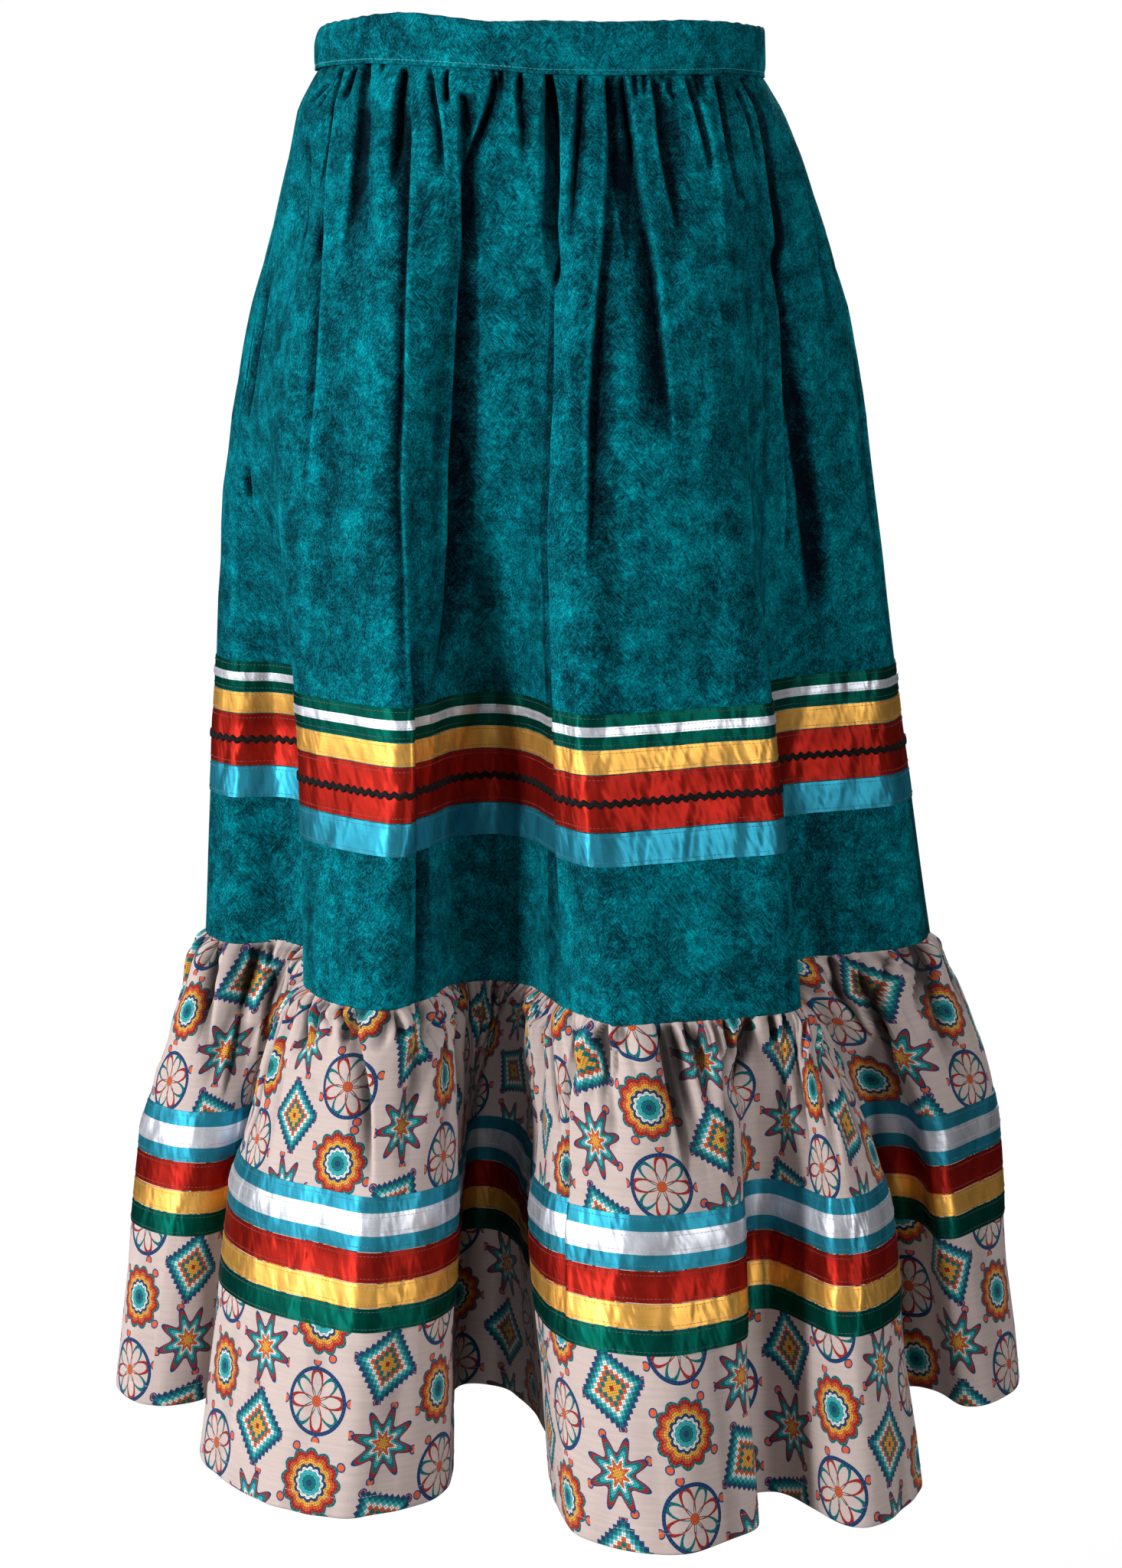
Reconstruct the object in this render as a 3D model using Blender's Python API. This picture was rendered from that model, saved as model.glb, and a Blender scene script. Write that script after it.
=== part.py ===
"""Ribbon skirt, hollow, as worn: a waistband, a gathered tier in two panels, a gathered hem ruffle in
two panels, and two sets of ribbons that run all round.

Metres, +Z up. The origin is the middle of the waist, halfway up the band. The front faces -Y.
Every ring starts at the left side seam (-X) and runs round the front (-Y), the right side and the back.
"""

from collections import namedtuple

import bmesh
import bpy
import numpy as np

MM = 0.001

# Driving sizes
WAIST_HALF_WIDTH = 0.1555
WAIST_HALF_DEPTH = 0.108
BAND_HEIGHT = 0.038
SEAM_DROP = 0.648  # the seam between tier and ruffle, below the middle of the band
HEM_DROP = 0.993
HIP_DROP = 0.25
UPPER_RIBBONS_DROP = 0.440  # top edge of the ribbons on the tier
LOWER_RIBBONS_DROP = 0.775  # top edge of the ribbons on the ruffle
BAND_WALL = 0.003
TIER_WALL = 0.002
RUFFLE_WALL = 0.0018
RIBBON_WALL = 0.001
SEAM_GAP = 0.0003
RIBBON_CLEARANCE = 0.0005  # from a panel to the ribbon on it, and from one ribbon to another on top
RIBBON_SPACE = 0.0008  # between two ribbons sewn side by side

WAIST_GATHERS = 54
WAIST_GATHER_DEPTH = 0.0032
RUFFLE_GATHERS = 80
RUFFLE_GATHER_DEPTH = 0.0036

# Where a fold of the tier stands: its share of the waist in per cent, then its place in mm at the hip,
# at the ribbons and at the seam.
TierFold = namedtuple("TierFold", "name waist hip ribbons seam")
TIER_FOLDS = [
    TierFold("left strip", 0, (-211, 14), (-224, 58), (-231, 33)),
    TierFold("left strip inside", 4.0, (-198, -12), (-193, 58), (-192, 34)),
    TierFold("left tuck hollow", 6.5, (-191, -30), (-166, 36), (-163, 8)),
    TierFold("left tuck wall", 8.5, (-185, -48), (-157, -25), (-155, -42)),
    TierFold("left front edge", 10.5, (-176, -68), (-167, -84), (-166, -90)),
    TierFold("left lobe side", 13.5, (-146, -98), (-132, -121), (-142, -138)),
    TierFold("left lobe crest", 17.5, (-96, -128), (-90, -151), (-104, -159)),
    TierFold("left lobe turn", 20.5, (-70, -121), (-73, -124), (-75, -124)),
    TierFold("front hollow left", 22.3, (-54, -105), (-58, -88), (-60, -88)),
    TierFold("front hollow", 24.0, (-32, -101), (-34, -76), (-32, -77)),
    TierFold("front hollow right", 25.8, (-10, -107), (-9, -91), (-6, -92)),
    TierFold("right lobe turn", 27.2, (6, -124), (9, -146), (16, -147)),
    TierFold("right lobe crest", 29.5, (26, -139), (34, -178), (52, -195)),
    TierFold("right lobe face", 33.5, (64, -136), (82, -161), (98, -187)),
    TierFold("right lobe side", 37.0, (103, -128), (126, -143), (142, -176)),
    TierFold("right front edge", 40.0, (138, -110), (164, -130), (181, -154)),
    TierFold("right tuck wall", 42.0, (154, -84), (158, -82), (171, -98)),
    TierFold("right tuck hollow", 44.0, (166, -62), (158, -38), (172, -38)),
    TierFold("right strip inside", 46.5, (180, -42), (177, -15), (192, -14)),
    TierFold("right strip", 49.5, (208, -6), (217, 2), (228, 0)),
    TierFold("right strip outside", 51.0, (229, 16), (250, 18), (269, 20)),
    TierFold("right side", 53.5, (236, 46), (268, 52), (293, 62)),
    TierFold("back right corner", 58.5, (217, 90), (251, 108), (273, 118)),
    TierFold("back right crest", 66.0, (176, 120), (204, 152), (216, 170)),
    TierFold("back right hollow", 71.0, (120, 122), (142, 130), (152, 130)),
    TierFold("back middle crest", 76.0, (58, 138), (66, 168), (74, 186)),
    TierFold("back middle hollow", 82.0, (-18, 128), (-22, 130), (-20, 128)),
    TierFold("back left crest", 88.0, (-98, 134), (-112, 164), (-120, 182)),
    TierFold("back left corner", 94.0, (-172, 110), (-192, 138), (-202, 148)),
    TierFold("left side", 98.0, (-218, 60), (-244, 88), (-251, 76)),
]

# Where a fold of the ruffle stands: the share of the tier's seam that it hangs from in per cent, then
# its place in mm at the ribbons and at the hem.
RuffleFold = namedtuple("RuffleFold", "name hangs_at ribbons hem")
RUFFLE_FOLDS = [
    RuffleFold("left lobe crest", 0, (-270, 22), (-292, -12)),
    RuffleFold("left lobe turn", 2.5, (-244, 18), (-256, -4)),
    RuffleFold("left cleft floor", 5, (-222, 54), (-226, 40)),
    RuffleFold("left cleft wall", 8, (-204, 6), (-208, -22)),
    RuffleFold("second lobe edge", 10, (-222, -66), (-243, -92)),
    RuffleFold("second lobe side", 12, (-197, -130), (-216, -164)),
    RuffleFold("second lobe face", 14.5, (-152, -164), (-168, -211)),
    RuffleFold("second lobe crest", 17, (-112, -187), (-126, -222)),
    RuffleFold("second lobe turn", 19.5, (-66, -155), (-68, -182)),
    RuffleFold("front cleft left", 21.5, (-58, -60), (-64, -62)),
    RuffleFold("front cleft floor", 23.5, (-54, 24), (-58, 32)),
    RuffleFold("front cleft corner", 24.5, (-28, 22), (-26, 22)),
    RuffleFold("front cleft right", 25.5, (-8, -52), (4, -52)),
    RuffleFold("third lobe edge", 27, (2, -160), (13, -190)),
    RuffleFold("third lobe side", 28.5, (24, -201), (34, -258)),
    RuffleFold("third lobe crest", 31, (70, -225), (88, -285)),
    RuffleFold("third lobe face", 33.5, (116, -216), (130, -262)),
    RuffleFold("third lobe turn", 35, (140, -194), (151, -236)),
    RuffleFold("right tuck floor", 36.5, (142, -142), (146, -182)),
    RuffleFold("fourth lobe side", 38, (165, -136), (168, -176)),
    RuffleFold("fourth lobe crest", 40, (211, -191), (222, -240)),
    RuffleFold("fourth lobe turn", 42, (246, -156), (268, -176)),
    RuffleFold("right cleft left", 44, (244, -50), (268, -64)),
    RuffleFold("right cleft floor", 46, (252, 58), (276, 26)),
    RuffleFold("right cleft corner", 48, (282, 58), (298, 20)),
    RuffleFold("fifth lobe crest", 50, (295, 8), (321, -16)),
    RuffleFold("fifth lobe face", 53, (324, 38), (350, 4)),
    RuffleFold("right side", 55.7, (350, 80), (366, 52)),
    RuffleFold("right back corner", 58, (330, 128), (350, 118)),
    RuffleFold("sixth lobe hollow", 60.5, (274, 122), (282, 106)),
    RuffleFold("sixth lobe side", 62.5, (264, 184), (286, 212)),
    RuffleFold("sixth lobe turn", 65, (208, 202), (218, 228)),
    RuffleFold("seventh lobe hollow", 68, (178, 146), (180, 124)),
    RuffleFold("seventh lobe wall", 69.5, (160, 144), (152, 120)),
    RuffleFold("seventh lobe side", 72, (120, 208), (126, 246)),
    RuffleFold("seventh lobe turn", 75, (72, 222), (62, 260)),
    RuffleFold("eighth lobe hollow", 78, (44, 154), (44, 128)),
    RuffleFold("eighth lobe wall", 79.5, (26, 152), (16, 126)),
    RuffleFold("eighth lobe side", 82, (-20, 208), (-24, 242)),
    RuffleFold("eighth lobe turn", 85, (-74, 204), (-84, 238)),
    RuffleFold("ninth lobe hollow", 87.5, (-102, 146), (-104, 122)),
    RuffleFold("ninth lobe wall", 89, (-120, 146), (-132, 122)),
    RuffleFold("ninth lobe side", 90.8, (-164, 200), (-176, 234)),
    RuffleFold("ninth lobe turn", 93, (-208, 178), (-232, 204)),
    RuffleFold("tenth lobe hollow", 95, (-226, 122), (-236, 96)),
    RuffleFold("tenth lobe side", 97, (-284, 110), (-304, 98)),
    RuffleFold("left side", 98.5, (-301, 58), (-320, 32)),
]

# The ribbons, top to bottom: width, the ribbon it lies on if it isn't sewn to the cloth, and its colour.
Ribbon = namedtuple("Ribbon", "name width lies_on colour roughness")
GREEN, WHITE, GOLD = (0.010, 0.105, 0.080), (0.86, 0.87, 0.90), (0.84, 0.46, 0.09)
RED, TURQUOISE, BLACK = (0.42, 0.035, 0.015), (0.045, 0.36, 0.49), (0.012, 0.012, 0.013)
UPPER_RIBBONS = [
    Ribbon("upper_ribbon_green", 0.023, None, GREEN, 0.35),
    Ribbon("upper_ribbon_white", 0.0065, "upper_ribbon_green", WHITE, 0.45),
    Ribbon("upper_ribbon_gold", 0.016, None, GOLD, 0.35),
    Ribbon("upper_ribbon_red", 0.038, None, RED, 0.35),
    Ribbon("upper_rickrack", 0.006, "upper_ribbon_red", BLACK, 0.8),
    Ribbon("upper_ribbon_turquoise", 0.0225, None, TURQUOISE, 0.35),
]
LOWER_RIBBONS = [
    Ribbon("lower_ribbon_turquoise", 0.038, None, TURQUOISE, 0.35),
    Ribbon("lower_ribbon_white", 0.016, "lower_ribbon_turquoise", WHITE, 0.35),
    Ribbon("lower_ribbon_red", 0.0205, None, RED, 0.35),
    Ribbon("lower_ribbon_gold", 0.016, None, GOLD, 0.35),
    Ribbon("lower_ribbon_green", 0.016, None, GREEN, 0.35),
]

TEAL = (0.004, 0.155, 0.165)
BLUSH = (0.66, 0.53, 0.47)

# How finely the rings are worked out, and how many columns of faces each panel has.
RING_STEPS = 1440
STEPS_A_FOLD = 40
SMOOTHING = 0.005  # corners of a ring are eased over about this length
TIER_COLUMN = 0.0255  # the widest that a column of faces may be
RUFFLE_COLUMN = 0.044
WAISTBAND_COLUMNS = 60


def length_along(points):
    """The distance from the first point to each point of a line."""
    steps = np.linalg.norm(np.diff(points, axis=0), axis=1)
    return np.concatenate([[0], np.cumsum(steps)])


def even_along(points, count):
    """The line again, as count points an even distance apart, without its last point."""
    walked = length_along(points)
    at = np.linspace(0, walked[-1], count, endpoint=False)
    return np.stack([np.interp(at, walked, points[:, k]) for k in range(2)], 1)


def curve_between(before, start, end, after, count):
    """A centripetal Catmull-Rom curve from start to end."""
    knots = [0]
    for a, b in ((before, start), (start, end), (end, after)):
        knots.append(knots[-1] + np.sqrt(np.linalg.norm(b - a)))
    k0, k1, k2, k3 = knots
    k = np.linspace(k1, k2, count)[:, None]
    a1 = (k1 - k) / (k1 - k0) * before + (k - k0) / (k1 - k0) * start
    a2 = (k2 - k) / (k2 - k1) * start + (k - k1) / (k2 - k1) * end
    a3 = (k3 - k) / (k3 - k2) * end + (k - k2) / (k3 - k2) * after
    b1 = (k2 - k) / (k2 - k0) * a1 + (k - k0) / (k2 - k0) * a2
    b2 = (k3 - k) / (k3 - k1) * a2 + (k - k1) / (k3 - k1) * a3
    return (k2 - k) / (k2 - k1) * b1 + (k - k1) / (k2 - k1) * b2


def fold_curves(places):
    """One curve of evenly spaced points from each fold to the next, round the whole ring."""
    points = np.array(places, float) * MM
    count = len(points)
    return [
        even_along(
            curve_between(points[i - 1], points[i], points[(i + 1) % count], points[(i + 2) % count], 200),
            STEPS_A_FOLD,
        )
        for i in range(count)
    ]


def fold_shares(curves):
    """Each fold's share of the cloth's width, 0 to 1, at the ring where the cloth lies ungathered."""
    lengths = [length_along(np.vstack([a, b[:1]]))[-1] for a, b in zip(curves, curves[1:] + curves[:1])]
    return np.concatenate([[0], np.cumsum(lengths)]) / sum(lengths)


def ring_grid():
    return np.arange(RING_STEPS) / RING_STEPS


def smoothed(ring):
    """The ring with its corners eased. Each pass averages a point with its neighbours."""
    step = length_along(ring)[-1] / len(ring)
    for _ in range(round(2 * (SMOOTHING / step) ** 2)):
        ring = (np.roll(ring, 1, 0) + 2 * ring + np.roll(ring, -1, 0)) / 4
    return ring


def ring_at(ring, shares):
    """The ring's points at some shares of the cloth."""
    closed = np.vstack([ring, ring[:1]])
    grid = np.append(ring_grid(), 1)
    return np.stack([np.interp(np.mod(shares, 1), grid, closed[:, k]) for k in range(closed.shape[1])], 1)


def fold_ring(places, shares):
    """A smooth ring through the folds, whose points are at even shares of the cloth."""
    curves = fold_curves(places)
    within = np.arange(STEPS_A_FOLD) / STEPS_A_FOLD
    at = np.concatenate([a + (b - a) * within for a, b in zip(shares[:-1], shares[1:])])
    points = np.vstack(curves + [curves[0][:1]])
    at = np.append(at, 1)
    return smoothed(np.stack([np.interp(ring_grid(), at, points[:, k]) for k in range(2)], 1))


def waist_ring(outset=0.0):
    """The waist's oval by even steps of its length, from the left side round the front."""
    turn = np.linspace(0, 2 * np.pi, 2000)
    oval = np.stack(
        [-(WAIST_HALF_WIDTH + outset) * np.cos(turn), -(WAIST_HALF_DEPTH + outset) * np.sin(turn)], 1
    )
    return even_along(oval, RING_STEPS)


def outward(ring):
    """The ring's directions out of the skirt, level, at each of its points."""
    along = np.roll(ring, -1, 0) - np.roll(ring, 1, 0)
    across = np.stack([along[:, 1], -along[:, 0]], 1)
    return across / np.linalg.norm(across, axis=1)[:, None]


def spring_out(part):
    """How far gathered cloth has gone out by a part of the way down, fast at first."""
    return 0.3 * part + 0.7 * np.sin(part * np.pi / 2)


# The rings of the tier
tier_shares = fold_shares(fold_curves([f.seam for f in TIER_FOLDS]))
tier_hip = fold_ring([f.hip for f in TIER_FOLDS], tier_shares)
tier_ribbons = fold_ring([f.ribbons for f in TIER_FOLDS], tier_shares)
tier_seam = fold_ring([f.seam for f in TIER_FOLDS], tier_shares)
waist_shares = np.array([f.waist for f in TIER_FOLDS] + [100]) / 100
tier_top = smoothed(ring_at(waist_ring(), np.interp(ring_grid(), tier_shares, waist_shares)))

# The rings of the ruffle
ruffle_shares = fold_shares(fold_curves([f.hem for f in RUFFLE_FOLDS]))
ruffle_ribbons = fold_ring([f.ribbons for f in RUFFLE_FOLDS], ruffle_shares)
ruffle_hem = fold_ring([f.hem for f in RUFFLE_FOLDS], ruffle_shares)
hanging_shares = np.array([f.hangs_at for f in RUFFLE_FOLDS] + [100]) / 100
ruffle_top = smoothed(ring_at(tier_seam, np.interp(ring_grid(), ruffle_shares, hanging_shares)))

# The share at which each pair of panels meets on the right. On the left they meet at 0.
TIER_RIGHT_SEAM = 0.5
RUFFLE_RIGHT_SEAM = ruffle_shares[[f.name for f in RUFFLE_FOLDS].index("fifth lobe crest")]

TIER_TOP_DROP = BAND_HEIGHT / 2 + SEAM_GAP
UPPER_MIDDLE_DROP = 0.49  # the height that the table's places at the upper ribbons are for
LOWER_MIDDLE_DROP = 0.82
RUFFLE_TOP_DROP = SEAM_DROP + SEAM_GAP


def tier_ring(drop):
    """The middle of the tier's wall at one height, without its gathers."""
    if drop < HIP_DROP:
        part = spring_out((drop - TIER_TOP_DROP) / (HIP_DROP - TIER_TOP_DROP))
        return tier_top + (tier_hip - tier_top) * part
    if drop < UPPER_MIDDLE_DROP:
        part = (drop - HIP_DROP) / (UPPER_MIDDLE_DROP - HIP_DROP)
        return tier_hip + (tier_ribbons - tier_hip) * part
    part = (drop - UPPER_MIDDLE_DROP) / (SEAM_DROP - UPPER_MIDDLE_DROP)
    return tier_ribbons + (tier_seam - tier_ribbons) * part


def ruffle_ring(drop):
    """The middle of the ruffle's wall at one height, without its gathers."""
    if drop < LOWER_MIDDLE_DROP:
        part = spring_out((drop - RUFFLE_TOP_DROP) / (LOWER_MIDDLE_DROP - RUFFLE_TOP_DROP))
        return ruffle_top + (ruffle_ribbons - ruffle_top) * part
    part = (drop - LOWER_MIDDLE_DROP) / (HEM_DROP - LOWER_MIDDLE_DROP)
    return ruffle_ribbons + (ruffle_hem - ruffle_ribbons) * part


# Below the gold ribbon of the upper set and the turquoise ribbon of the lower set, each panel has a row of
# points, so that no ribbon crosses one.
UPPER_RIBBONS_SPLIT = UPPER_RIBBONS_DROP + 0.023 + 0.016 + 1.5 * RIBBON_SPACE
LOWER_RIBBONS_SPLIT = LOWER_RIBBONS_DROP + 0.038 + 0.5 * RIBBON_SPACE

# A row of a panel: its drop, the shares of its columns, and how deep the gathers are there.
Row = namedtuple("Row", "drop shares gather")


def gather_shares(gathers, right_seam):
    """A crest and a hollow for each gather. The gathers are uneven, but both side seams stay put."""
    count = 2 * gathers
    even = np.arange(count) / count
    uneven = even + 0.22 / count * (np.sin(even * 2 * np.pi * 7) + np.sin(even * 2 * np.pi * 11))
    uneven[[0, count // 2]] = 0, 0.5
    return np.interp(uneven, (0, 0.5, 1), (0, right_seam, 1))


def column_shares(shares, widest, right_seam):
    """Even columns from fold to fold, with the one nearest the right side seam moved onto it."""
    columns = np.concatenate([
        np.linspace(a, b, int(np.ceil((b - a) / widest)), endpoint=False)
        for a, b in zip(shares[:-1], shares[1:])
    ])
    columns[np.abs(columns - right_seam).argmin()] = right_seam
    return columns


tier_gathers = gather_shares(WAIST_GATHERS, TIER_RIGHT_SEAM)
tier_columns = column_shares(tier_shares, TIER_COLUMN / length_along(tier_seam)[-1], TIER_RIGHT_SEAM)
TIER_ROWS = [
    Row(TIER_TOP_DROP, tier_gathers, 0.5),
    Row(0.036, tier_gathers, 1),
    Row(0.075, tier_gathers, 0.8),
    Row(0.125, tier_gathers, 0.45),
    Row(0.19, tier_columns, 0),
    Row(HIP_DROP, tier_columns, 0),
    Row(0.31, tier_columns, 0),
    Row(0.375, tier_columns, 0),
    Row(UPPER_RIBBONS_DROP - 0.003, tier_columns, 0),
    Row(UPPER_RIBBONS_SPLIT, tier_columns, 0),
    Row(0.546, tier_columns, 0),
    Row(SEAM_DROP, tier_columns, 0),
]

ruffle_gathers = gather_shares(RUFFLE_GATHERS, RUFFLE_RIGHT_SEAM)
ruffle_columns = column_shares(ruffle_shares, RUFFLE_COLUMN / length_along(ruffle_hem)[-1], RUFFLE_RIGHT_SEAM)
RUFFLE_ROWS = [
    Row(RUFFLE_TOP_DROP, ruffle_gathers, 0.6),
    Row(0.662, ruffle_gathers, 1),
    Row(0.700, ruffle_gathers, 0.6),
    Row(0.738, ruffle_columns, 0),
    Row(LOWER_RIBBONS_DROP - 0.003, ruffle_columns, 0),
    Row(LOWER_RIBBONS_SPLIT, ruffle_columns, 0),
    Row(0.872, ruffle_columns, 0),
    Row(0.932, ruffle_columns, 0),
    Row(HEM_DROP, ruffle_columns, 0),
]


def wall_row(ring, row, gather_depth, offset):
    """A row's points, offset outwards from the middle of the wall, crests and hollows in turn."""
    wave = np.where(np.arange(len(row.shares)) % 2 == 0, -1, 1) * row.gather * gather_depth
    places = ring_at(ring, row.shares) + ring_at(outward(ring), row.shares) * (wave + offset)[:, None]
    return np.column_stack([places, np.full(len(places), -row.drop)])


def strip_corners(upper, lower, upper_shares, lower_shares):
    """The triangles between two rows, each corner as its row, 0 or 1, and its column.

    Where both rows have the same columns, each cell is folded the way that leaves it hollow, so that
    a ribbon made from the same points lies clear of it. Otherwise the rows are laced by their shares.
    """
    corners = []
    if len(upper) == len(lower):
        for i in range(len(upper) - 1):
            a, b, c, d = upper[i], upper[i + 1], lower[i], lower[i + 1]
            out = np.cross(c - b, d - a)
            if np.dot(a + d - b - c, out) < 0:
                corners += [((0, i), (1, i), (1, i + 1)), ((0, i), (1, i + 1), (0, i + 1))]
            else:
                corners += [((0, i), (1, i), (0, i + 1)), ((0, i + 1), (1, i), (1, i + 1))]
        return corners
    i = j = 0
    while i < len(upper) - 1 or j < len(lower) - 1:
        next_upper = upper_shares[i + 1] if i < len(upper) - 1 else np.inf
        next_lower = lower_shares[j + 1] if j < len(lower) - 1 else np.inf
        if next_upper <= next_lower:
            corners.append(((0, i), (1, j), (0, i + 1)))
            i += 1
        else:
            corners.append(((0, i), (1, j), (1, j + 1)))
            j += 1
    return corners


def edge_strip(bm, outer, inner, faces_up):
    """The quads that close a wall along one edge, between its outer and inner vertices."""
    for i in range(len(outer) - 1):
        corners = (outer[i], outer[i + 1], inner[i + 1], inner[i])
        bm.faces.new(corners if faces_up else corners[::-1])


def loft_wall(name, outer_rows, inner_rows, shares, closed, material):
    """One closed solid from rows of outer and inner points, top to bottom, all round or as a panel."""
    bm = bmesh.new()
    if closed:
        shares = [np.append(s, 1) for s in shares]
        outer_rows = [np.vstack([r, r[:1]]) for r in outer_rows]
    sides = []
    for rows in (outer_rows, inner_rows):
        side = []
        for points in rows:
            count = len(points) - 1 if closed and rows is outer_rows else len(points)
            vertices = [bm.verts.new(p) for p in points[:count]]
            side.append(vertices + vertices[:1] if closed else vertices)
        sides.append(side)
    outer, inner = sides
    for k in range(len(outer) - 1):
        for corners in strip_corners(outer_rows[k], outer_rows[k + 1], shares[k], shares[k + 1]):
            bm.faces.new([outer[k + row][column] for row, column in corners])
            bm.faces.new([inner[k + row][column] for row, column in reversed(corners)])
    edge_strip(bm, outer[0], inner[0], True)
    edge_strip(bm, outer[-1], inner[-1], False)
    if not closed:
        for end, flip in ((0, False), (-1, True)):
            edge_strip(bm, [row[end] for row in outer], [row[end] for row in inner], flip)
    mesh = bpy.data.meshes.new(name)
    bm.to_mesh(mesh)
    bm.free()
    mesh.materials.append(material)
    mesh.shade_smooth()
    mesh.set_sharp_from_angle(angle=0.9)
    part = bpy.data.objects.new(name, mesh)
    skirt.objects.link(part)
    return part


def panel(name, ring_of, rows, gather_depth, wall, first, last, material):
    """A panel of cloth from one side seam to the other, by their shares, short of each by half a gap."""
    outer_rows, inner_rows, shares = [], [], []
    for row in rows:
        ring = ring_of(row.drop)
        sides = []
        extended = np.append(row.shares, 1)
        within = (extended >= first) & (extended <= last)
        closed_row = Row(row.drop, extended, row.gather)
        for offset in (wall / 2, -wall / 2):
            points = wall_row(ring, closed_row, gather_depth, offset)[within]
            for end, beside in ((0, 1), (-1, -2)):
                step = points[beside] - points[end]
                points[end] += step / np.linalg.norm(step) * SEAM_GAP / 2
            sides.append(points)
        outer_rows.append(sides[0])
        inner_rows.append(sides[1])
        shares.append(extended[within])
    return loft_wall(name, outer_rows, inner_rows, shares, False, material)


def between_rows(drop, ring_of, upper, lower, offset):
    """Points on a panel's flat faces between two of its rows, moved out."""
    part = (drop - upper.drop) / (lower.drop - upper.drop)
    top = wall_row(ring_of(upper.drop), upper, 0, offset)
    bottom = wall_row(ring_of(lower.drop), lower, 0, offset)
    return top + (bottom - top) * part


def ribbon_set(ribbons, top_drop, ring_of, rows, panel_wall):
    """Ribbons one below the other on a panel's three rows, and those that lie on the middle of another."""
    placed = {}
    drop = top_drop
    for ribbon in ribbons:
        clear = panel_wall / 2 + RIBBON_CLEARANCE
        if ribbon.lies_on:
            carrier_top, carrier_width = placed[ribbon.lies_on]
            start = carrier_top + (carrier_width - ribbon.width) / 2
            clear += RIBBON_WALL + RIBBON_CLEARANCE
        else:
            start = drop
            drop += ribbon.width + RIBBON_SPACE
        placed[ribbon.name] = start, ribbon.width
        edges = (start, start + ribbon.width)
        upper, lower = rows[:2] if start < rows[1].drop else rows[1:]
        outer = [between_rows(d, ring_of, upper, lower, clear + RIBBON_WALL) for d in edges]
        inner = [between_rows(d, ring_of, upper, lower, clear) for d in edges]
        material = finish(ribbon.name, ribbon.colour, ribbon.roughness)
        loft_wall(ribbon.name, outer, inner, [upper.shares] * 2, True, material)


def finish(name, colour, roughness):
    material = bpy.data.materials.new(name)
    material.use_nodes = True
    shader = material.node_tree.nodes["Principled BSDF"]
    shader.inputs["Base Color"].default_value = (*colour, 1)
    shader.inputs["Roughness"].default_value = roughness
    shader.inputs["Metallic"].default_value = 0
    return material


def waistband(material):
    """The band stands upright and closed all round, a little proud of the gathers below it."""
    shares = np.arange(WAISTBAND_COLUMNS) / WAISTBAND_COLUMNS
    outer, inner = [], []
    for drop in (-BAND_HEIGHT / 2, 0, BAND_HEIGHT / 2):
        row = Row(drop, shares, 0)
        outer.append(wall_row(waist_ring(), row, 0, BAND_WALL / 2))
        inner.append(wall_row(waist_ring(), row, 0, -BAND_WALL / 2))
    return loft_wall("waistband", outer, inner, [shares] * 3, True, material)


for old in list(bpy.data.objects):
    bpy.data.objects.remove(old)
skirt = bpy.data.collections.new("ribbon_skirt")
bpy.context.scene.collection.children.link(skirt)

teal = finish("teal_cloth", TEAL, 0.85)
printed = finish("printed_cotton", BLUSH, 0.9)
waistband(teal)
tier = (tier_ring, TIER_ROWS, WAIST_GATHER_DEPTH, TIER_WALL)
panel("skirt_front", *tier, 0, TIER_RIGHT_SEAM, teal)
panel("skirt_back", *tier, TIER_RIGHT_SEAM, 1, teal)
ruffle = (ruffle_ring, RUFFLE_ROWS, RUFFLE_GATHER_DEPTH, RUFFLE_WALL)
panel("ruffle_front", *ruffle, 0, RUFFLE_RIGHT_SEAM, printed)
panel("ruffle_back", *ruffle, RUFFLE_RIGHT_SEAM, 1, printed)
ribbon_set(UPPER_RIBBONS, UPPER_RIBBONS_DROP, tier_ring, TIER_ROWS[8:11], TIER_WALL)
ribbon_set(LOWER_RIBBONS, LOWER_RIBBONS_DROP, ruffle_ring, RUFFLE_ROWS[4:7], RUFFLE_WALL)
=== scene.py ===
import math
from collections import namedtuple
from functools import partial

import bpy
import numpy as np
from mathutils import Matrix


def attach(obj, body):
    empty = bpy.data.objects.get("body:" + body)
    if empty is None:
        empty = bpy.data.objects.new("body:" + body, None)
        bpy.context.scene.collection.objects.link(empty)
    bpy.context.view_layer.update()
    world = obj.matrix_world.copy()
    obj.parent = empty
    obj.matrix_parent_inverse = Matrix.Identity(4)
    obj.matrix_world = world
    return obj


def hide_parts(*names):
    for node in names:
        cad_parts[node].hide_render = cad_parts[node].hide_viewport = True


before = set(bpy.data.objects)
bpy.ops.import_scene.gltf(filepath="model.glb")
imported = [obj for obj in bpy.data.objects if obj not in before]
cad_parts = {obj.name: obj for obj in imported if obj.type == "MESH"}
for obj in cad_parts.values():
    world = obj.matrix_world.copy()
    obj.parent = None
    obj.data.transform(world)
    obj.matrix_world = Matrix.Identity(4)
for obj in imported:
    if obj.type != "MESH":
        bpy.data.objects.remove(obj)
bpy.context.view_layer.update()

# The waistband. A straight strip of brushed teal cotton, folded double and closed into a hoop, with an
# elastic inside its back. The gathered edge of the tier is caught between its two lower edges, and one
# row of topstitching in a brighter thread holds them together.

MM = 0.001
RING_STEPS = 1440
OVAL_STEPS = 2000
WAIST_HALF_WIDTH, WAIST_HALF_DEPTH = 0.1555, 0.108
BAND_COLUMNS = 560
BAND_HALF_HEIGHT = 19  # mm
BAND_CUT = (0.84, 0.081)
BAND_THREAD = (0.012, 0.28, 0.32)
ELASTIC_RIPPLES = 96

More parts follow.
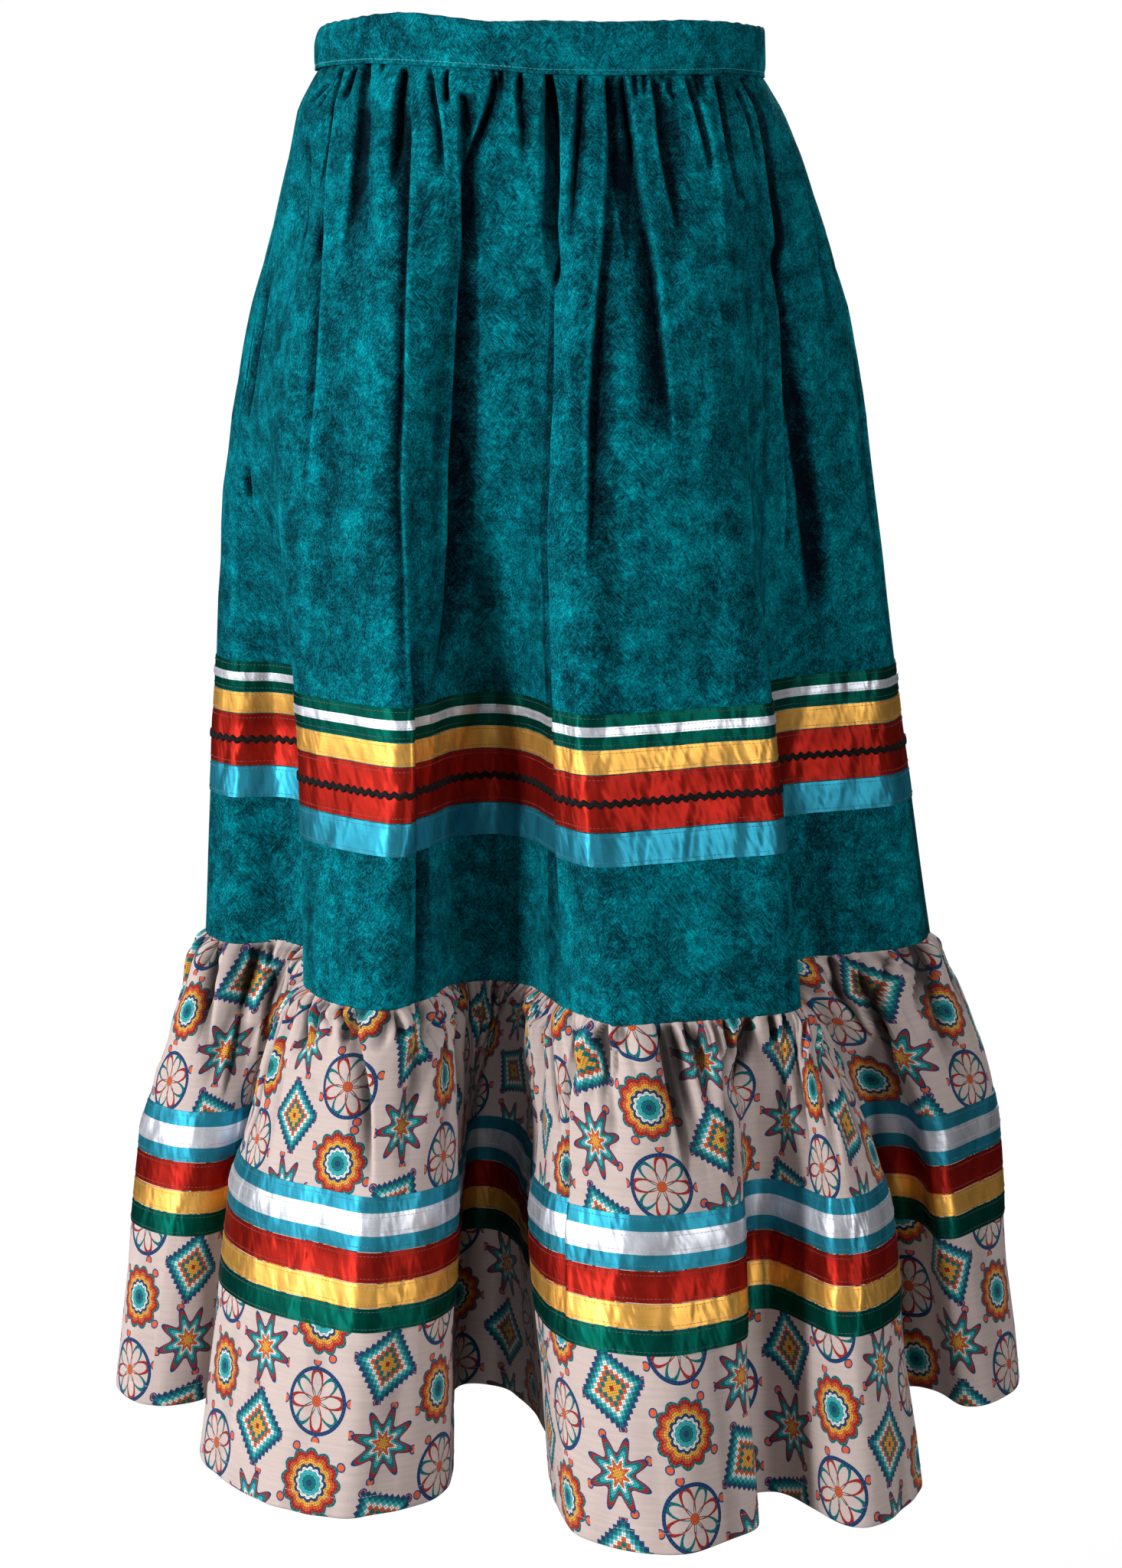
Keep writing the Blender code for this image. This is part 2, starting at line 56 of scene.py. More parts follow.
# The band's section, from the inner lower edge over the top to the outer lower edge: mm out from the
# middle of its wall, and mm up.
BAND_SECTION = [
    (-0.6, -17.6), (-1.4, -18.8), (-1.7, -17.5), (-1.7, -12), (-1.8, -6), (-1.8, 0), (-1.8, 6), (-1.8, 12),
    (-1.7, 15.5), (-1.4, 17.6), (-0.8, 18.8), (0, 19.2), (0.8, 18.9), (1.5, 17.8), (1.9, 16), (2.1, 13.5),
    (2.2, 11), (2.25, 8), (2.3, 5), (2.3, 2), (2.3, -1), (2.3, -4), (2.3, -7), (2.25, -10), (2.15, -12.5),
    (1.85, -14.4), (1.55, -15.5), (1.75, -16.6), (2.05, -17.8), (1.9, -18.9), (1.1, -19.3), (0.3, -18.6),
]  # fmt: skip
BAND_STITCHES_AT = -15.5  # mm up from the middle of the band

# How far the worn band's top edge and its lower edge ride up or down, in mm, at some places round it
# (degrees from the left side through the front).
BAND_RISE = [(0, -6, 3), (12, -3, 5.5), (25, -1, 7.5), (38, 2.5, 8.5), (48, 4, 8), (55, 3.5, 7.2), (62, 1.5, 6.6),
             (75, -2, 5), (90, -3, 1.8), (110, -2.5, 0.8), (135, -1, 1.2), (150, -2, 1.8), (165, -4.5, 0),
             (180, -6, -2), (225, -2, -1), (270, 0, 0), (315, -3, 1), (360, -6, 3)]  # fmt: skip


def length_along(points):
    """The distance from the first point to each point of a line."""
    return np.concatenate([[0], np.cumsum(np.linalg.norm(np.diff(points, axis=0), axis=1))])


def even_along(points, count):
    """The line again, as count points an even distance apart, without its last point."""
    walked = length_along(points)
    at = np.linspace(0, walked[-1], count, endpoint=False)
    return np.stack([np.interp(at, walked, points[:, k]) for k in range(points.shape[1])], 1)


def waist_ring():
    """The waist's oval by even steps of its length, from the left side round the front."""
    turn = np.linspace(0, 2 * np.pi, OVAL_STEPS)
    return even_along(np.stack([-WAIST_HALF_WIDTH * np.cos(turn), -WAIST_HALF_DEPTH * np.sin(turn)], 1), RING_STEPS)


def ring_at(ring, shares):
    """The ring's points at some shares of the cloth."""
    closed = np.vstack([ring, ring[:1]])
    grid = np.arange(RING_STEPS + 1) / RING_STEPS
    return np.stack([np.interp(shares, grid, closed[:, k]) for k in range(closed.shape[1])], 1)


def outward(ring):
    """The ring's level directions out of the skirt, at each of its points."""
    along = np.roll(ring, -1, 0) - np.roll(ring, 1, 0)
    across = np.stack([along[:, 1], -along[:, 0]], 1)
    return across / np.linalg.norm(across, axis=1)[:, None]


def ripples(shares, drop, seed, count, round_it, down):
    """Soft unevenness between -1 and 1, from waves with whole numbers of crests round the ring."""
    rng = np.random.default_rng(seed)
    total = np.zeros_like(shares)
    for _ in range(count):
        waves = rng.integers(round_it[0], round_it[1] + 1) * rng.choice((-1, 1))
        total += np.sin(2 * np.pi * (waves * shares + rng.uniform(*down) * drop + rng.random()))
    return total / math.sqrt(count) / 1.5


def place_piece(name, mesh, material):
    """A piece with this mesh and material, put in the scene."""
    mesh.materials.append(material)
    piece = bpy.data.objects.new(name, mesh)
    bpy.context.scene.collection.objects.link(piece)
    return piece


def cloth_mesh(name, grid, along, down, material, closed=False, lie=None):
    """A mesh of quads through rows of points, with a map of metres along and down the flat cut, and the painted
    shading of its folds at each point where that is given: painted shade in hollows and a painted highlight on
    ridges."""
    count = grid.shape[1] - closed
    number = np.arange(grid.shape[0] * count).reshape(grid.shape[0], count)
    if closed:
        number = np.hstack([number, number[:, :1]])

    def corners(a):
        return np.stack([a[:-1, :-1], a[1:, :-1], a[1:, 1:], a[:-1, 1:]], 2).reshape(-1, 4)

    mesh = bpy.data.meshes.new(name)
    mesh.from_pydata(grid[:, :count].reshape(-1, 3).tolist(), [], corners(number).tolist())
    places = np.stack([corners(np.broadcast_to(a, grid.shape[:2])) for a in (along[None, :], down[:, None])], 2)
    mesh.uv_layers.new(name="cloth").data.foreach_set("uv", places.astype(np.float32).ravel())
    mesh.shade_smooth()
    if lie is not None:
        lie = lie[:, :count].astype(np.float32).ravel()
        mesh.attributes.new("lie", "FLOAT", "POINT").data.foreach_set("value", lie)
    return place_piece(name, mesh, material)


def add_node(tree, kind, inputs=(), **settings):
    """A node whose inputs are given as (socket, value or another node's output)."""
    made = tree.nodes.new("ShaderNode" + kind)
    for key, value in settings.items():
        setattr(made, key, value)
    for socket, value in inputs:
        if isinstance(value, bpy.types.NodeSocket):
            tree.links.new(value, made.inputs[socket])
        else:
            made.inputs[socket].default_value = value
    return made


def calc(tree, operation, *values, clamp=False):
    """A sum worked out on numbers or on other nodes' outputs."""
    return add_node(tree, "Math", enumerate(values), operation=operation, use_clamp=clamp).outputs[0]


def sums(tree):
    """Plus, minus, times and over, for the nodes of one material."""
    return [partial(calc, tree, operation) for operation in ("ADD", "SUBTRACT", "MULTIPLY", "DIVIDE")]


def mixed(tree, share, first, second, blend="MIX"):
    """Two colours mixed by a share. The node has its colours in sockets 6 and 7, and the mix in output 2."""
    first, second = (c if isinstance(c, bpy.types.NodeSocket) else (*c, 1) for c in (first, second))
    inputs = [(0, share), (6, first), (7, second)]
    return add_node(tree, "Mix", inputs, data_type="RGBA", blend_type=blend).outputs[2]


def ramp(tree, value, stops, steps=False):
    """A colour for each value, from (place, colour) stops."""
    made = add_node(tree, "ValToRGB", [(0, value)])
    band = made.color_ramp
    band.interpolation = "CONSTANT" if steps else "LINEAR"
    while len(band.elements) < len(stops):
        band.elements.new(0.5)
    for element, (place, colour) in zip(band.elements, stops):
        element.position = place
        element.color = (*colour, 1)
    return made.outputs[0]


def cloth_place(tree, across=1.0, down=1.0, turn=0.0):
    """The place on the flat cut, scaled and turned."""
    place = add_node(tree, "UVMap", uv_map="cloth").outputs[0]
    turned = add_node(tree, "Mapping", [("Vector", place), ("Rotation", (0, 0, math.radians(turn)))])
    return add_node(tree, "Mapping", [("Vector", turned.outputs[0]), ("Scale", (across, down, 1))]).outputs[0]


def place_in_space(tree, across=1.0, along=1.0, turn=0.0):
    """The place in space, turned as seen from the front, then scaled across and along."""
    place = add_node(tree, "TexCoord").outputs["Object"]
    turned = add_node(tree, "Mapping", [("Vector", place), ("Rotation", (0, math.radians(turn), 0))])
    return add_node(tree, "Mapping", [("Vector", turned.outputs[0]), ("Scale", (across, across, along))]).outputs[0]


def noise(tree, place, scale, detail=2.0, distortion=0.0, roughness=0.5):
    """Soft clouds of values round a half."""
    inputs = [("Vector", place), ("Scale", scale), ("Detail", detail)]
    inputs += [("Distortion", distortion), ("Roughness", roughness)]
    return add_node(tree, "TexNoise", inputs).outputs[0]


def stepped(tree, value, low, high):
    """0 below the low value and 1 above the high one, with a soft step between them."""
    inputs = [(0, value), (1, low), (2, high)]
    return add_node(tree, "MapRange", inputs, interpolation_type="SMOOTHSTEP").outputs[0]


def bumped(tree, shader, height, strength, distance):
    """Gives the finish a fine relief, for the grain of its threads and pile."""
    bump = add_node(tree, "Bump", [("Height", height), ("Strength", strength), ("Distance", distance)])
    tree.links.new(bump.outputs[0], shader.inputs["Normal"])


def new_material(name, roughness):
    """A new material, with its nodes and its shader."""
    material = bpy.data.materials.new(name)
    material.use_nodes = True
    shader = material.node_tree.nodes["Principled BSDF"]
    shader.inputs["Roughness"].default_value = roughness
    return material, material.node_tree, shader


def brushed_teal():
    """Brushed cotton: short feathery strokes in all directions over darker and lighter clouds."""
    material, tree, shader = new_material("brushed_teal_cotton", 0.88)
    plus, minus, times, _ = sums(tree)
    strokes = []
    for turn, long in ((38, 150), (-34, 170), (84, 140)):
        strokes.append(stepped(tree, noise(tree, place_in_space(tree, 1350, long, turn), 1.0, 2, 0.1), 0.36, 0.62))
    parting = noise(tree, place_in_space(tree), 110, 2)
    first = calc(tree, "MULTIPLY", calc(tree, "SUBTRACT", parting, 0.42, clamp=True), 6, clamp=True)
    crossed = plus(times(strokes[0], first), times(strokes[1], minus(1, first)))
    patches = stepped(tree, noise(tree, place_in_space(tree), 40, 10, 0.0, 0.8), 0.40, 0.62)
    mottle = noise(tree, place_in_space(tree), 120, 6, 0.0, 0.72)
    drifts = noise(tree, place_in_space(tree, 1, 0.8), 13, 3)
    specks = noise(tree, place_in_space(tree), 1000, 1)
    # Painted shading: the colour is painted darker in the hollows of the folds, where shade falls, and a little
    # paler on their sharp ridges as a painted highlight.
    lie = add_node(tree, "Attribute", attribute_name="lie").outputs["Fac"]
    weights = [(crossed, 0.16), (strokes[2], 0.07), (patches, 0.13), (mottle, 0.39), (drifts, 0.12),
               (specks, 0.12), (lie, 0.28)]  # fmt: skip
    value = 0.0
    for part, weight in weights:
        value = plus(value, times(part, weight))
    teals = [(0.22, (0.0, 0.003, 0.007)), (0.38, (0.0, 0.030, 0.041)), (0.49, (0.0, 0.091, 0.119)),
             (0.59, (0.0, 0.180, 0.223)), (0.72, (0.0, 0.37, 0.43))]  # fmt: skip
    tree.links.new(ramp(tree, value, teals), shader.inputs["Base Color"])
    shader.inputs["Specular IOR Level"].default_value = 0.04
    shader.inputs["Sheen Weight"].default_value = 0.03
    shader.inputs["Sheen Roughness"].default_value = 0.4
    shader.inputs["Sheen Tint"].default_value = (0.0, 0.62, 0.72, 1)
    bumped(tree, shader, plus(crossed, times(specks, 0.3)), 0.5, 0.0009)
    return material


def thread(name, colour):
    """Spun polyester thread, with a soft twist."""
    material, tree, shader = new_material(name, 0.5)
    twist = noise(tree, cloth_place(tree, 1500, 1500, 30), 1.0, 1)
    tree.links.new(ramp(tree, twist, [(0.3, [c * 0.6 for c in colour]), (0.7, colour)]), shader.inputs["Base Color"])
    shader.inputs["Sheen Weight"].default_value = 0.2
    return material


def stitch_row(name, line, out, material, pitch=0.0028, long=0.0020, wide=0.0006, proud=0.0003):
    """A row of machine stitches along a line of points: each a small ridge with rounded ends."""
    walked = length_along(line)
    starts = np.arange(0, walked[-1] - pitch, walked[-1] / round(walked[-1] / pitch))

    def on_line(at, values):
        return np.stack([np.interp(at, walked, values[:, k]) for k in range(3)], 1)

    a, b = on_line(starts, line), on_line(starts + long, line)
    lift = on_line(starts + long / 2, out)
    lift /= np.linalg.norm(lift, axis=1)[:, None]
    run = (b - a) / np.linalg.norm(b - a, axis=1)[:, None]
    side = np.cross(lift, run) * wide / 2
    up, low = lift * proud, lift * -0.0002
    corners = [a - side + low, a + side + low, b + side + low, b - side + low,
               a + run * long * 0.18 + up, b - run * long * 0.18 + up]  # fmt: skip
    points = np.stack(corners, 1).reshape(-1, 3)
    faces = []
    for i in range(0, len(points), 6):
        faces += [(i, i + 4, i + 5, i + 3), (i + 1, i + 2, i + 5, i + 4), (i, i + 1, i + 4), (i + 2, i + 3, i + 5)]
    mesh = bpy.data.meshes.new(name)
    mesh.from_pydata(points.tolist(), [], faces)
    mesh.uv_layers.new(name="cloth")
    mesh.shade_smooth()
    return place_piece(name, mesh, material)


def joined(name, pieces):
    """Several pieces made one."""
    with bpy.context.temp_override(active_object=pieces[0], selected_editable_objects=pieces):
        bpy.ops.object.join()
    pieces[0].name = name
    return pieces[0]


def fix(piece, slot, *nodes):
    """The piece goes with the skirt and stands for some CAD nodes, which are hidden. The slot is not used."""
    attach(piece, "root")
    if nodes:
        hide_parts(*nodes)


def band_rise(shares, part):
    """How far the band rides up at some shares of it, a part of the way from its lower edge to its top."""
    places, tops, bottoms = zip(*BAND_RISE)
    turn = np.degrees(2 * np.pi * shares)
    return (np.interp(turn, places, tops) * part + np.interp(turn, places, bottoms) * (1 - part)) * MM


def band_row(shares, out, up):
    """Points round the band, some mm out from the middle of its wall and some mm up, and the directions
    out of the skirt there."""
    ring, directions = ring_at(waist_ring(), shares), ring_at(outward(waist_ring()), shares)
    back = np.clip(-np.sin(2 * np.pi * shares), 0, 1) ** 0.5
    # The elastic at the back draws the band into small upright ripples.
    drawn = back * 0.9 * np.sin(2 * np.pi * ELASTIC_RIPPLES * shares + 2 * ripples(shares, 0, 4, 3, (5, 19), (0, 0)))
    soft = 0.5 * ripples(shares, up * 0.02, 5, 5, (6, 30), (0.3, 1.2)) + drawn * (1 - abs(up) / 30)
    height = up * MM + band_rise(shares, (up + BAND_HALF_HEIGHT) / (2 * BAND_HALF_HEIGHT))
    height += 0.35 * MM * ripples(shares, 0, 6, 6, (20, 90), (0, 0)) * (up > 10)
    # Its left end leans in, most at the top.
    lean = (2.5 + 4 * max(up / BAND_HALF_HEIGHT, 0) ** 2) * np.clip(-1.5 * directions[:, 0] - 0.4, 0, 1)
    return np.column_stack([ring + directions * ((out + soft - lean) * MM)[:, None], height]), directions


band_shares = np.linspace(0, 1, BAND_COLUMNS + 1)
teal_cotton = brushed_teal()
section_length = length_along(np.array(BAND_SECTION, float)) * MM
band_grid = np.stack([band_row(band_shares, out, up)[0] for out, up in BAND_SECTION])
band_along = band_shares * BAND_CUT[0]
band = cloth_mesh("waistband_cloth", band_grid, band_along, 0.1 - section_length, teal_cotton, closed=True)
fix(band, "teal_cloth", "waistband")

line, directions = band_row(band_shares, 1.6, BAND_STITCHES_AT)
lift = np.column_stack([directions, np.zeros(len(directions))])
teal_thread = thread("bright_teal_thread", BAND_THREAD)
band_stitches = stitch_row("waistband_topstitch", line, lift, teal_thread, long=0.0024, proud=0.0004)
fix(band_stitches, "teal_cloth")


# The tier. Two panels of the same brushed cotton, joined at the sides, about 1.73 m round and gathered
# to half of that by two rows of long stitches under the band. They fall in deep soft folds, with small
# crisp pleats at the band that run out one after another on the way down.

SEAM_DROP = 0.648
HIP_DROP = 0.25
UPPER_MIDDLE_DROP = 0.49
TIER_TOP_DROP = 0.0193
TIER_CUT_WIDTH, TIER_CUT_HEIGHT = 1.734, 0.65
FRONT_COLUMNS, BACK_COLUMNS = 500, 290
STEPS_A_FOLD = 40
SMOOTHING = 0.004

# Where a fold of the tier stands: its share of the waist in per cent, then its place in mm at the hip,
# at the ribbons and at the seam.
TierFold = namedtuple("TierFold", "name waist hip ribbons seam")
TIER_FOLDS = [
    TierFold("left strip", 0, (-211, 14), (-224, 58), (-231, 33)),
    TierFold("left strip inside", 4.0, (-198, -12), (-193, 58), (-192, 34)),
    TierFold("left tuck hollow", 6.5, (-191, -30), (-166, 36), (-163, 8)),
    TierFold("left tuck wall", 8.5, (-185, -48), (-157, -25), (-155, -42)),
    TierFold("left front edge", 10.5, (-176, -68), (-167, -84), (-166, -90)),
    TierFold("left lobe side", 13.5, (-146, -98), (-132, -121), (-142, -138)),
    TierFold("left lobe crest", 17.5, (-96, -128), (-90, -151), (-104, -159)),
    TierFold("left lobe turn", 20.5, (-70, -121), (-73, -124), (-75, -124)),
    TierFold("front hollow left", 22.3, (-54, -105), (-58, -88), (-60, -88)),
    TierFold("front hollow", 24.0, (-32, -101), (-34, -76), (-32, -77)),
    TierFold("front hollow right", 25.8, (-10, -107), (-9, -91), (-6, -92)),
    TierFold("right lobe turn", 27.2, (6, -124), (9, -146), (16, -147)),
    TierFold("right lobe crest", 29.5, (26, -139), (34, -178), (52, -195)),
    TierFold("right lobe face", 33.5, (64, -136), (82, -161), (98, -187)),
    TierFold("right lobe side", 37.0, (103, -128), (126, -143), (142, -176)),
    TierFold("right front edge", 40.0, (138, -110), (164, -130), (181, -154)),
    TierFold("right tuck wall", 42.0, (154, -84), (158, -82), (171, -98)),
    TierFold("right tuck hollow", 44.0, (166, -62), (158, -38), (172, -38)),
    TierFold("right strip inside", 46.5, (180, -42), (177, -15), (192, -14)),
    TierFold("right strip", 49.5, (208, -6), (217, 2), (228, 0)),
    TierFold("right strip outside", 51.0, (229, 16), (250, 18), (269, 20)),
    TierFold("right side", 53.5, (236, 46), (268, 52), (293, 62)),
    TierFold("back right corner", 58.5, (217, 90), (251, 108), (273, 118)),
    TierFold("back right crest", 66.0, (176, 120), (204, 152), (216, 170)),
    TierFold("back right hollow", 71.0, (120, 122), (142, 130), (152, 130)),
    TierFold("back middle crest", 76.0, (58, 138), (66, 168), (74, 186)),
    TierFold("back middle hollow", 82.0, (-18, 128), (-22, 130), (-20, 128)),
    TierFold("back left crest", 88.0, (-98, 134), (-112, 164), (-120, 182)),
    TierFold("back left corner", 94.0, (-172, 110), (-192, 138), (-202, 148)),
    TierFold("left side", 98.0, (-218, 60), (-244, 88), (-251, 76)),
]


def curve_between(before, start, end, after, count):
    """A centripetal Catmull-Rom curve from start to end."""
    knots = [0]
    for a, b in ((before, start), (start, end), (end, after)):
        knots.append(knots[-1] + np.sqrt(np.linalg.norm(b - a)))
    k0, k1, k2, k3 = knots
    k = np.linspace(k1, k2, count)[:, None]
    a1 = (k1 - k) / (k1 - k0) * before + (k - k0) / (k1 - k0) * start
    a2 = (k2 - k) / (k2 - k1) * start + (k - k1) / (k2 - k1) * end
    a3 = (k3 - k) / (k3 - k2) * end + (k - k2) / (k3 - k2) * after
    b1 = (k2 - k) / (k2 - k0) * a1 + (k - k0) / (k2 - k0) * a2
    b2 = (k3 - k) / (k3 - k1) * a2 + (k - k1) / (k3 - k1) * a3
    return (k2 - k) / (k2 - k1) * b1 + (k - k1) / (k2 - k1) * b2


def fold_curves(places):
    """One curve of evenly spaced points from each fold to the next, round the whole ring."""
    points = np.array(places, float) * MM
    count = len(points)
    curves = []
    for i in range(count):
        around = points[i - 1], points[i], points[(i + 1) % count], points[(i + 2) % count]
        curves.append(even_along(curve_between(*around, 200), STEPS_A_FOLD))
    return curves


def fold_shares(curves):
    """Each fold's share of the cloth's width, 0 to 1, at the ring where the cloth lies ungathered."""
    lengths = [length_along(np.vstack([a, b[:1]]))[-1] for a, b in zip(curves, curves[1:] + curves[:1])]
    return np.concatenate([[0], np.cumsum(lengths)]) / sum(lengths)


def smoothed(ring):
    """The ring with its corners eased. Each pass averages a point with its neighbours."""
    step = length_along(ring)[-1] / len(ring)
    for _ in range(round(2 * (SMOOTHING / step) ** 2)):
        ring = (np.roll(ring, 1, 0) + 2 * ring + np.roll(ring, -1, 0)) / 4
    return ring


def fold_ring(places, shares):
    """A smooth ring through the folds, whose points are at even shares of the cloth."""
    curves = fold_curves(places)
    within = np.arange(STEPS_A_FOLD) / STEPS_A_FOLD
    at = np.concatenate([a + (b - a) * within for a, b in zip(shares[:-1], shares[1:])])
    points = np.vstack(curves + [curves[0][:1]])
    grid = np.arange(RING_STEPS) / RING_STEPS
    return smoothed(np.stack([np.interp(grid, np.append(at, 1), points[:, k]) for k in range(2)], 1))


def gathered_ring(ring, shares, hanging_shares):
    """The ring that the cloth hangs from, with the folds bunched at some shares of it."""
    grid = np.arange(RING_STEPS) / RING_STEPS
    return smoothed(ring_at(ring, np.interp(grid, shares, hanging_shares)))


def spring_out(part):
    """How far gathered cloth has gone out by a part of the way down, fast at first."""
    return 0.3 * part + 0.7 * np.sin(part * np.pi / 2)


tier_shares = fold_shares(fold_curves([f.seam for f in TIER_FOLDS]))
tier_hip = fold_ring([f.hip for f in TIER_FOLDS], tier_shares)
tier_ribbons = fold_ring([f.ribbons for f in TIER_FOLDS], tier_shares)
tier_seam = fold_ring([f.seam for f in TIER_FOLDS], tier_shares)
waist_shares = np.array([f.waist for f in TIER_FOLDS] + [100]) / 100
tier_top = gathered_ring(waist_ring(), tier_shares, waist_shares)


def tier_ring(drop):
    """The tier's smooth ring at one height."""
    if drop < HIP_DROP:
        part = spring_out(max(drop - TIER_TOP_DROP, 0) / (HIP_DROP - TIER_TOP_DROP))
        return tier_top + (tier_hip - tier_top) * part
    if drop < UPPER_MIDDLE_DROP:
        part = (drop - HIP_DROP) / (UPPER_MIDDLE_DROP - HIP_DROP)
        return tier_hip + (tier_ribbons - tier_hip) * part
    part = (drop - UPPER_MIDDLE_DROP) / (SEAM_DROP - UPPER_MIDDLE_DROP)
    return tier_ribbons + (tier_seam - tier_ribbons) * part


class Pleats:
    """Uneven pleats under a gathered edge. Each has its own height, and its own length to where it runs out."""

    def __init__(self, count, seed, height, lengths, uneven=0.12, lean=3.0, sharp=0.8):
        rng = np.random.default_rng(seed)
        self.count, self.lean, self.sharp = count, lean, sharp
        self.waves = [(n, uneven * count / n * 0.16, rng.random()) for n in (5, 7, 11, 17, 23)]
        self.heights = rng.uniform(0.45, 1.35, count) * height
        self.lengths = rng.uniform(*lengths, count)
        self.seed = seed

    def relief(self, shares, below, start=0.010):
        """How far the pleats stand out at some shares, some way below the edge."""
        phase = self.count * shares
        for n, size, turn in self.waves:
            phase = phase + size * np.sin(2 * np.pi * (n * shares + turn))
        phase = phase + self.lean * below * ripples(shares, below, self.seed + 50, 4, (3, 13), (0, 1.5))
        number = np.floor(phase).astype(int) % self.count
        rise = np.clip(below / start, 0, 1)
        left = np.clip(1 - below / self.lengths[number], 0, 1)
        left = left**1.3 * (1.6 - 0.6 * left)
        height = self.heights[number] * (0.25 + 0.75 * math.sin(rise * np.pi / 2))
        return height * left * np.abs(np.sin(np.pi * phase)) ** self.sharp


# The folds of the front, from the left to the right. Most are laps, where the cloth ends in a clear edge
# and goes in behind it. A row gives the side of the edge that its hollow lies on (1 right, -1 left, 0 a
# hollow on both sides, or a ridge where its depth is below zero), the depth and width of the hollow in
# mm, and the edge's way down: mm below the waist's middle, and mm right of the skirt's middle.
Lap = namedtuple("Lap", "side depth width way")
FRONT_LAPS = [
    # The left side strip
    Lap(-1, 6, 4, [(160, -190), (188, -194), (221, -200), (262, -204)]),
    Lap(0, 5, 2, [(291, -206), (303, -206), (318, -205)]),
    Lap(0, 3, 2, [(312, -216), (320, -209), (329, -200)]),
    Lap(0, -2.5, 4, [(275, -195), (297, -189), (314, -184), (334, -178)]),
    # From the band's left end
    Lap(0, 4, 6, [(74, -163), (95, -165), (120, -168), (145, -172)]),
    Lap(-1, 4, 3, [(64, -156), (82, -156), (106, -161), (130, -165), (143, -167)]),
    Lap(0, 4, 4, [(29, -141), (35, -148), (43, -155)]),
    Lap(-1, 5, 4, [(31, -140), (40, -144), (49, -148)]),
    Lap(-1, 8, 5, [(20, -133), (41, -136), (65, -141), (88, -145), (103, -147)]),
    Lap(-1, 3, 4, [(88, -145), (120, -148), (176, -150), (226, -153), (308, -158)]),
    Lap(0, 3.5, 3, [(117, -150), (135, -151), (145, -154), (153, -158)]),
    Lap(0, -1.5, 3, [(191, -170), (226, -169), (257, -170)]),
    Lap(0, 6, 3, [(20, -124), (32, -127), (43, -130)]),
    Lap(1, 5.5, 7, [(22, -120), (52, -121), (77, -124), (102, -127), (120, -130), (144, -135)]),
    Lap(0, -3, 5, [(46, -100), (62, -104), (79, -106), (94, -106), (142, -104)]),
    Lap(0, -2.5, 5, [(119, -104), (132, -98), (146, -89)]),
    Lap(1, 9, 6, [(20, -91), (31, -93), (46, -95), (61, -96), (99, -99)]),
    Lap(-1, 4.5, 5, [(48, -84), (126, -87), (177, -89), (227, -90), (288, -93), (359, -90), (436, -89)]),
    Lap(-1, 5.5, 4, [(20, -71), (47, -66), (60, -64), (90, -61)]),
    Lap(0, 6, 2, [(20, -60), (30, -61), (43, -60)]),
    # The long lap at the left of the hollow in the front, with its kinks
    Lap(1, 7, 14, [(34, -52), (70, -51), (95, -50), (135, -50), (156, -51)]),
    Lap(1, 5, 14, [(146, -51), (217, -54), (277, -57), (328, -58), (374, -62), (413, -68), (431, -71)]),
    Lap(1, 7, 7, [(22, -29), (41, -33), (59, -39), (81, -47), (91, -50)]),
    Lap(0, 3.5, 2, [(269, -52), (276, -49), (282, -48), (289, -52)]),
    Lap(0, 3.5, 2, [(297, -48), (305, -50), (312, -54)]),
    Lap(1, 4, 7, [(20, -14), (43, -13), (76, -10)]),
    # The deep slot in the middle, and the edge that runs on below it
    Lap(0, 24, 4.2, [(18, 8), (31, 9), (87, 9), (105, 8), (118, 7), (160, 10)]),
    Lap(-1, 5, 12, [(144, 11), (174, 10), (256, 9), (328, 9), (430, 10), (540, 12), (640, 17)]),
    Lap(1, 5.5, 6, [(19, 28), (30, 27), (56, 25), (92, 22), (133, 21)]),
    Lap(1, 5, 10, [(19, 46), (71, 48), (120, 45), (174, 40), (225, 36), (256, 35), (359, 34)]),
    Lap(0, 5, 1.8, [(19, 47), (38, 48)]),
    Lap(-1, 9, 4, [(19, 58), (27, 59), (45, 62), (71, 66), (82, 68)]),
    Lap(-1, 6.5, 16, [(63, 65), (82, 68), (117, 74), (148, 80), (179, 83), (225, 88), (266, 92)]),
    Lap(1, 5, 7, [(21, 76), (40, 79), (63, 81), (88, 86), (125, 95)]),
    Lap(1, 4, 4, [(20, 88), (29, 87), (37, 91)]),
    Lap(1, 5, 4, [(20, 99), (41, 104), (63, 110), (87, 115)]),
    Lap(0, -2.5, 4, [(34, 108), (62, 115), (98, 122), (144, 126)]),
    Lap(1, 4, 6, [(164, 122), (175, 125), (188, 127)]),
    Lap(1, 7, 7, [(20, 119), (44, 121), (73, 126), (104, 134)]),
    Lap(1, 4.5, 4, [(26, 131), (53, 139), (87, 148)]),
    # The corner where the left lobe turns in to the hollow of the front, and the right side strip
    Lap(1, 3.5, 12, [(395, -86), (440, -83), (545, -82), (652, -84)]),
    Lap(1, 6, 9, [(20, 136), (38, 143), (65, 150), (113, 159), (174, 169), (220, 173), (318, 178), (374, 173)]),
    Lap(0, 9, 7, [(133, 164), (158, 173), (194, 181), (246, 190), (302, 196), (369, 199), (405, 200)]),
    Lap(0, -3, 7, [(45, 161), (81, 173), (133, 187), (158, 192)]),
]
# The short nicks just under the band, between the longer folds: mm right of the middle.
FRONT_NICKS = [-148, -145, -141, -117, -115, -105, -77, -29, -24, -11, 33, 36, 51, 65, 72, 84, 92, 105, 108,
               111, 115, 126, 143]  # fmt: skip

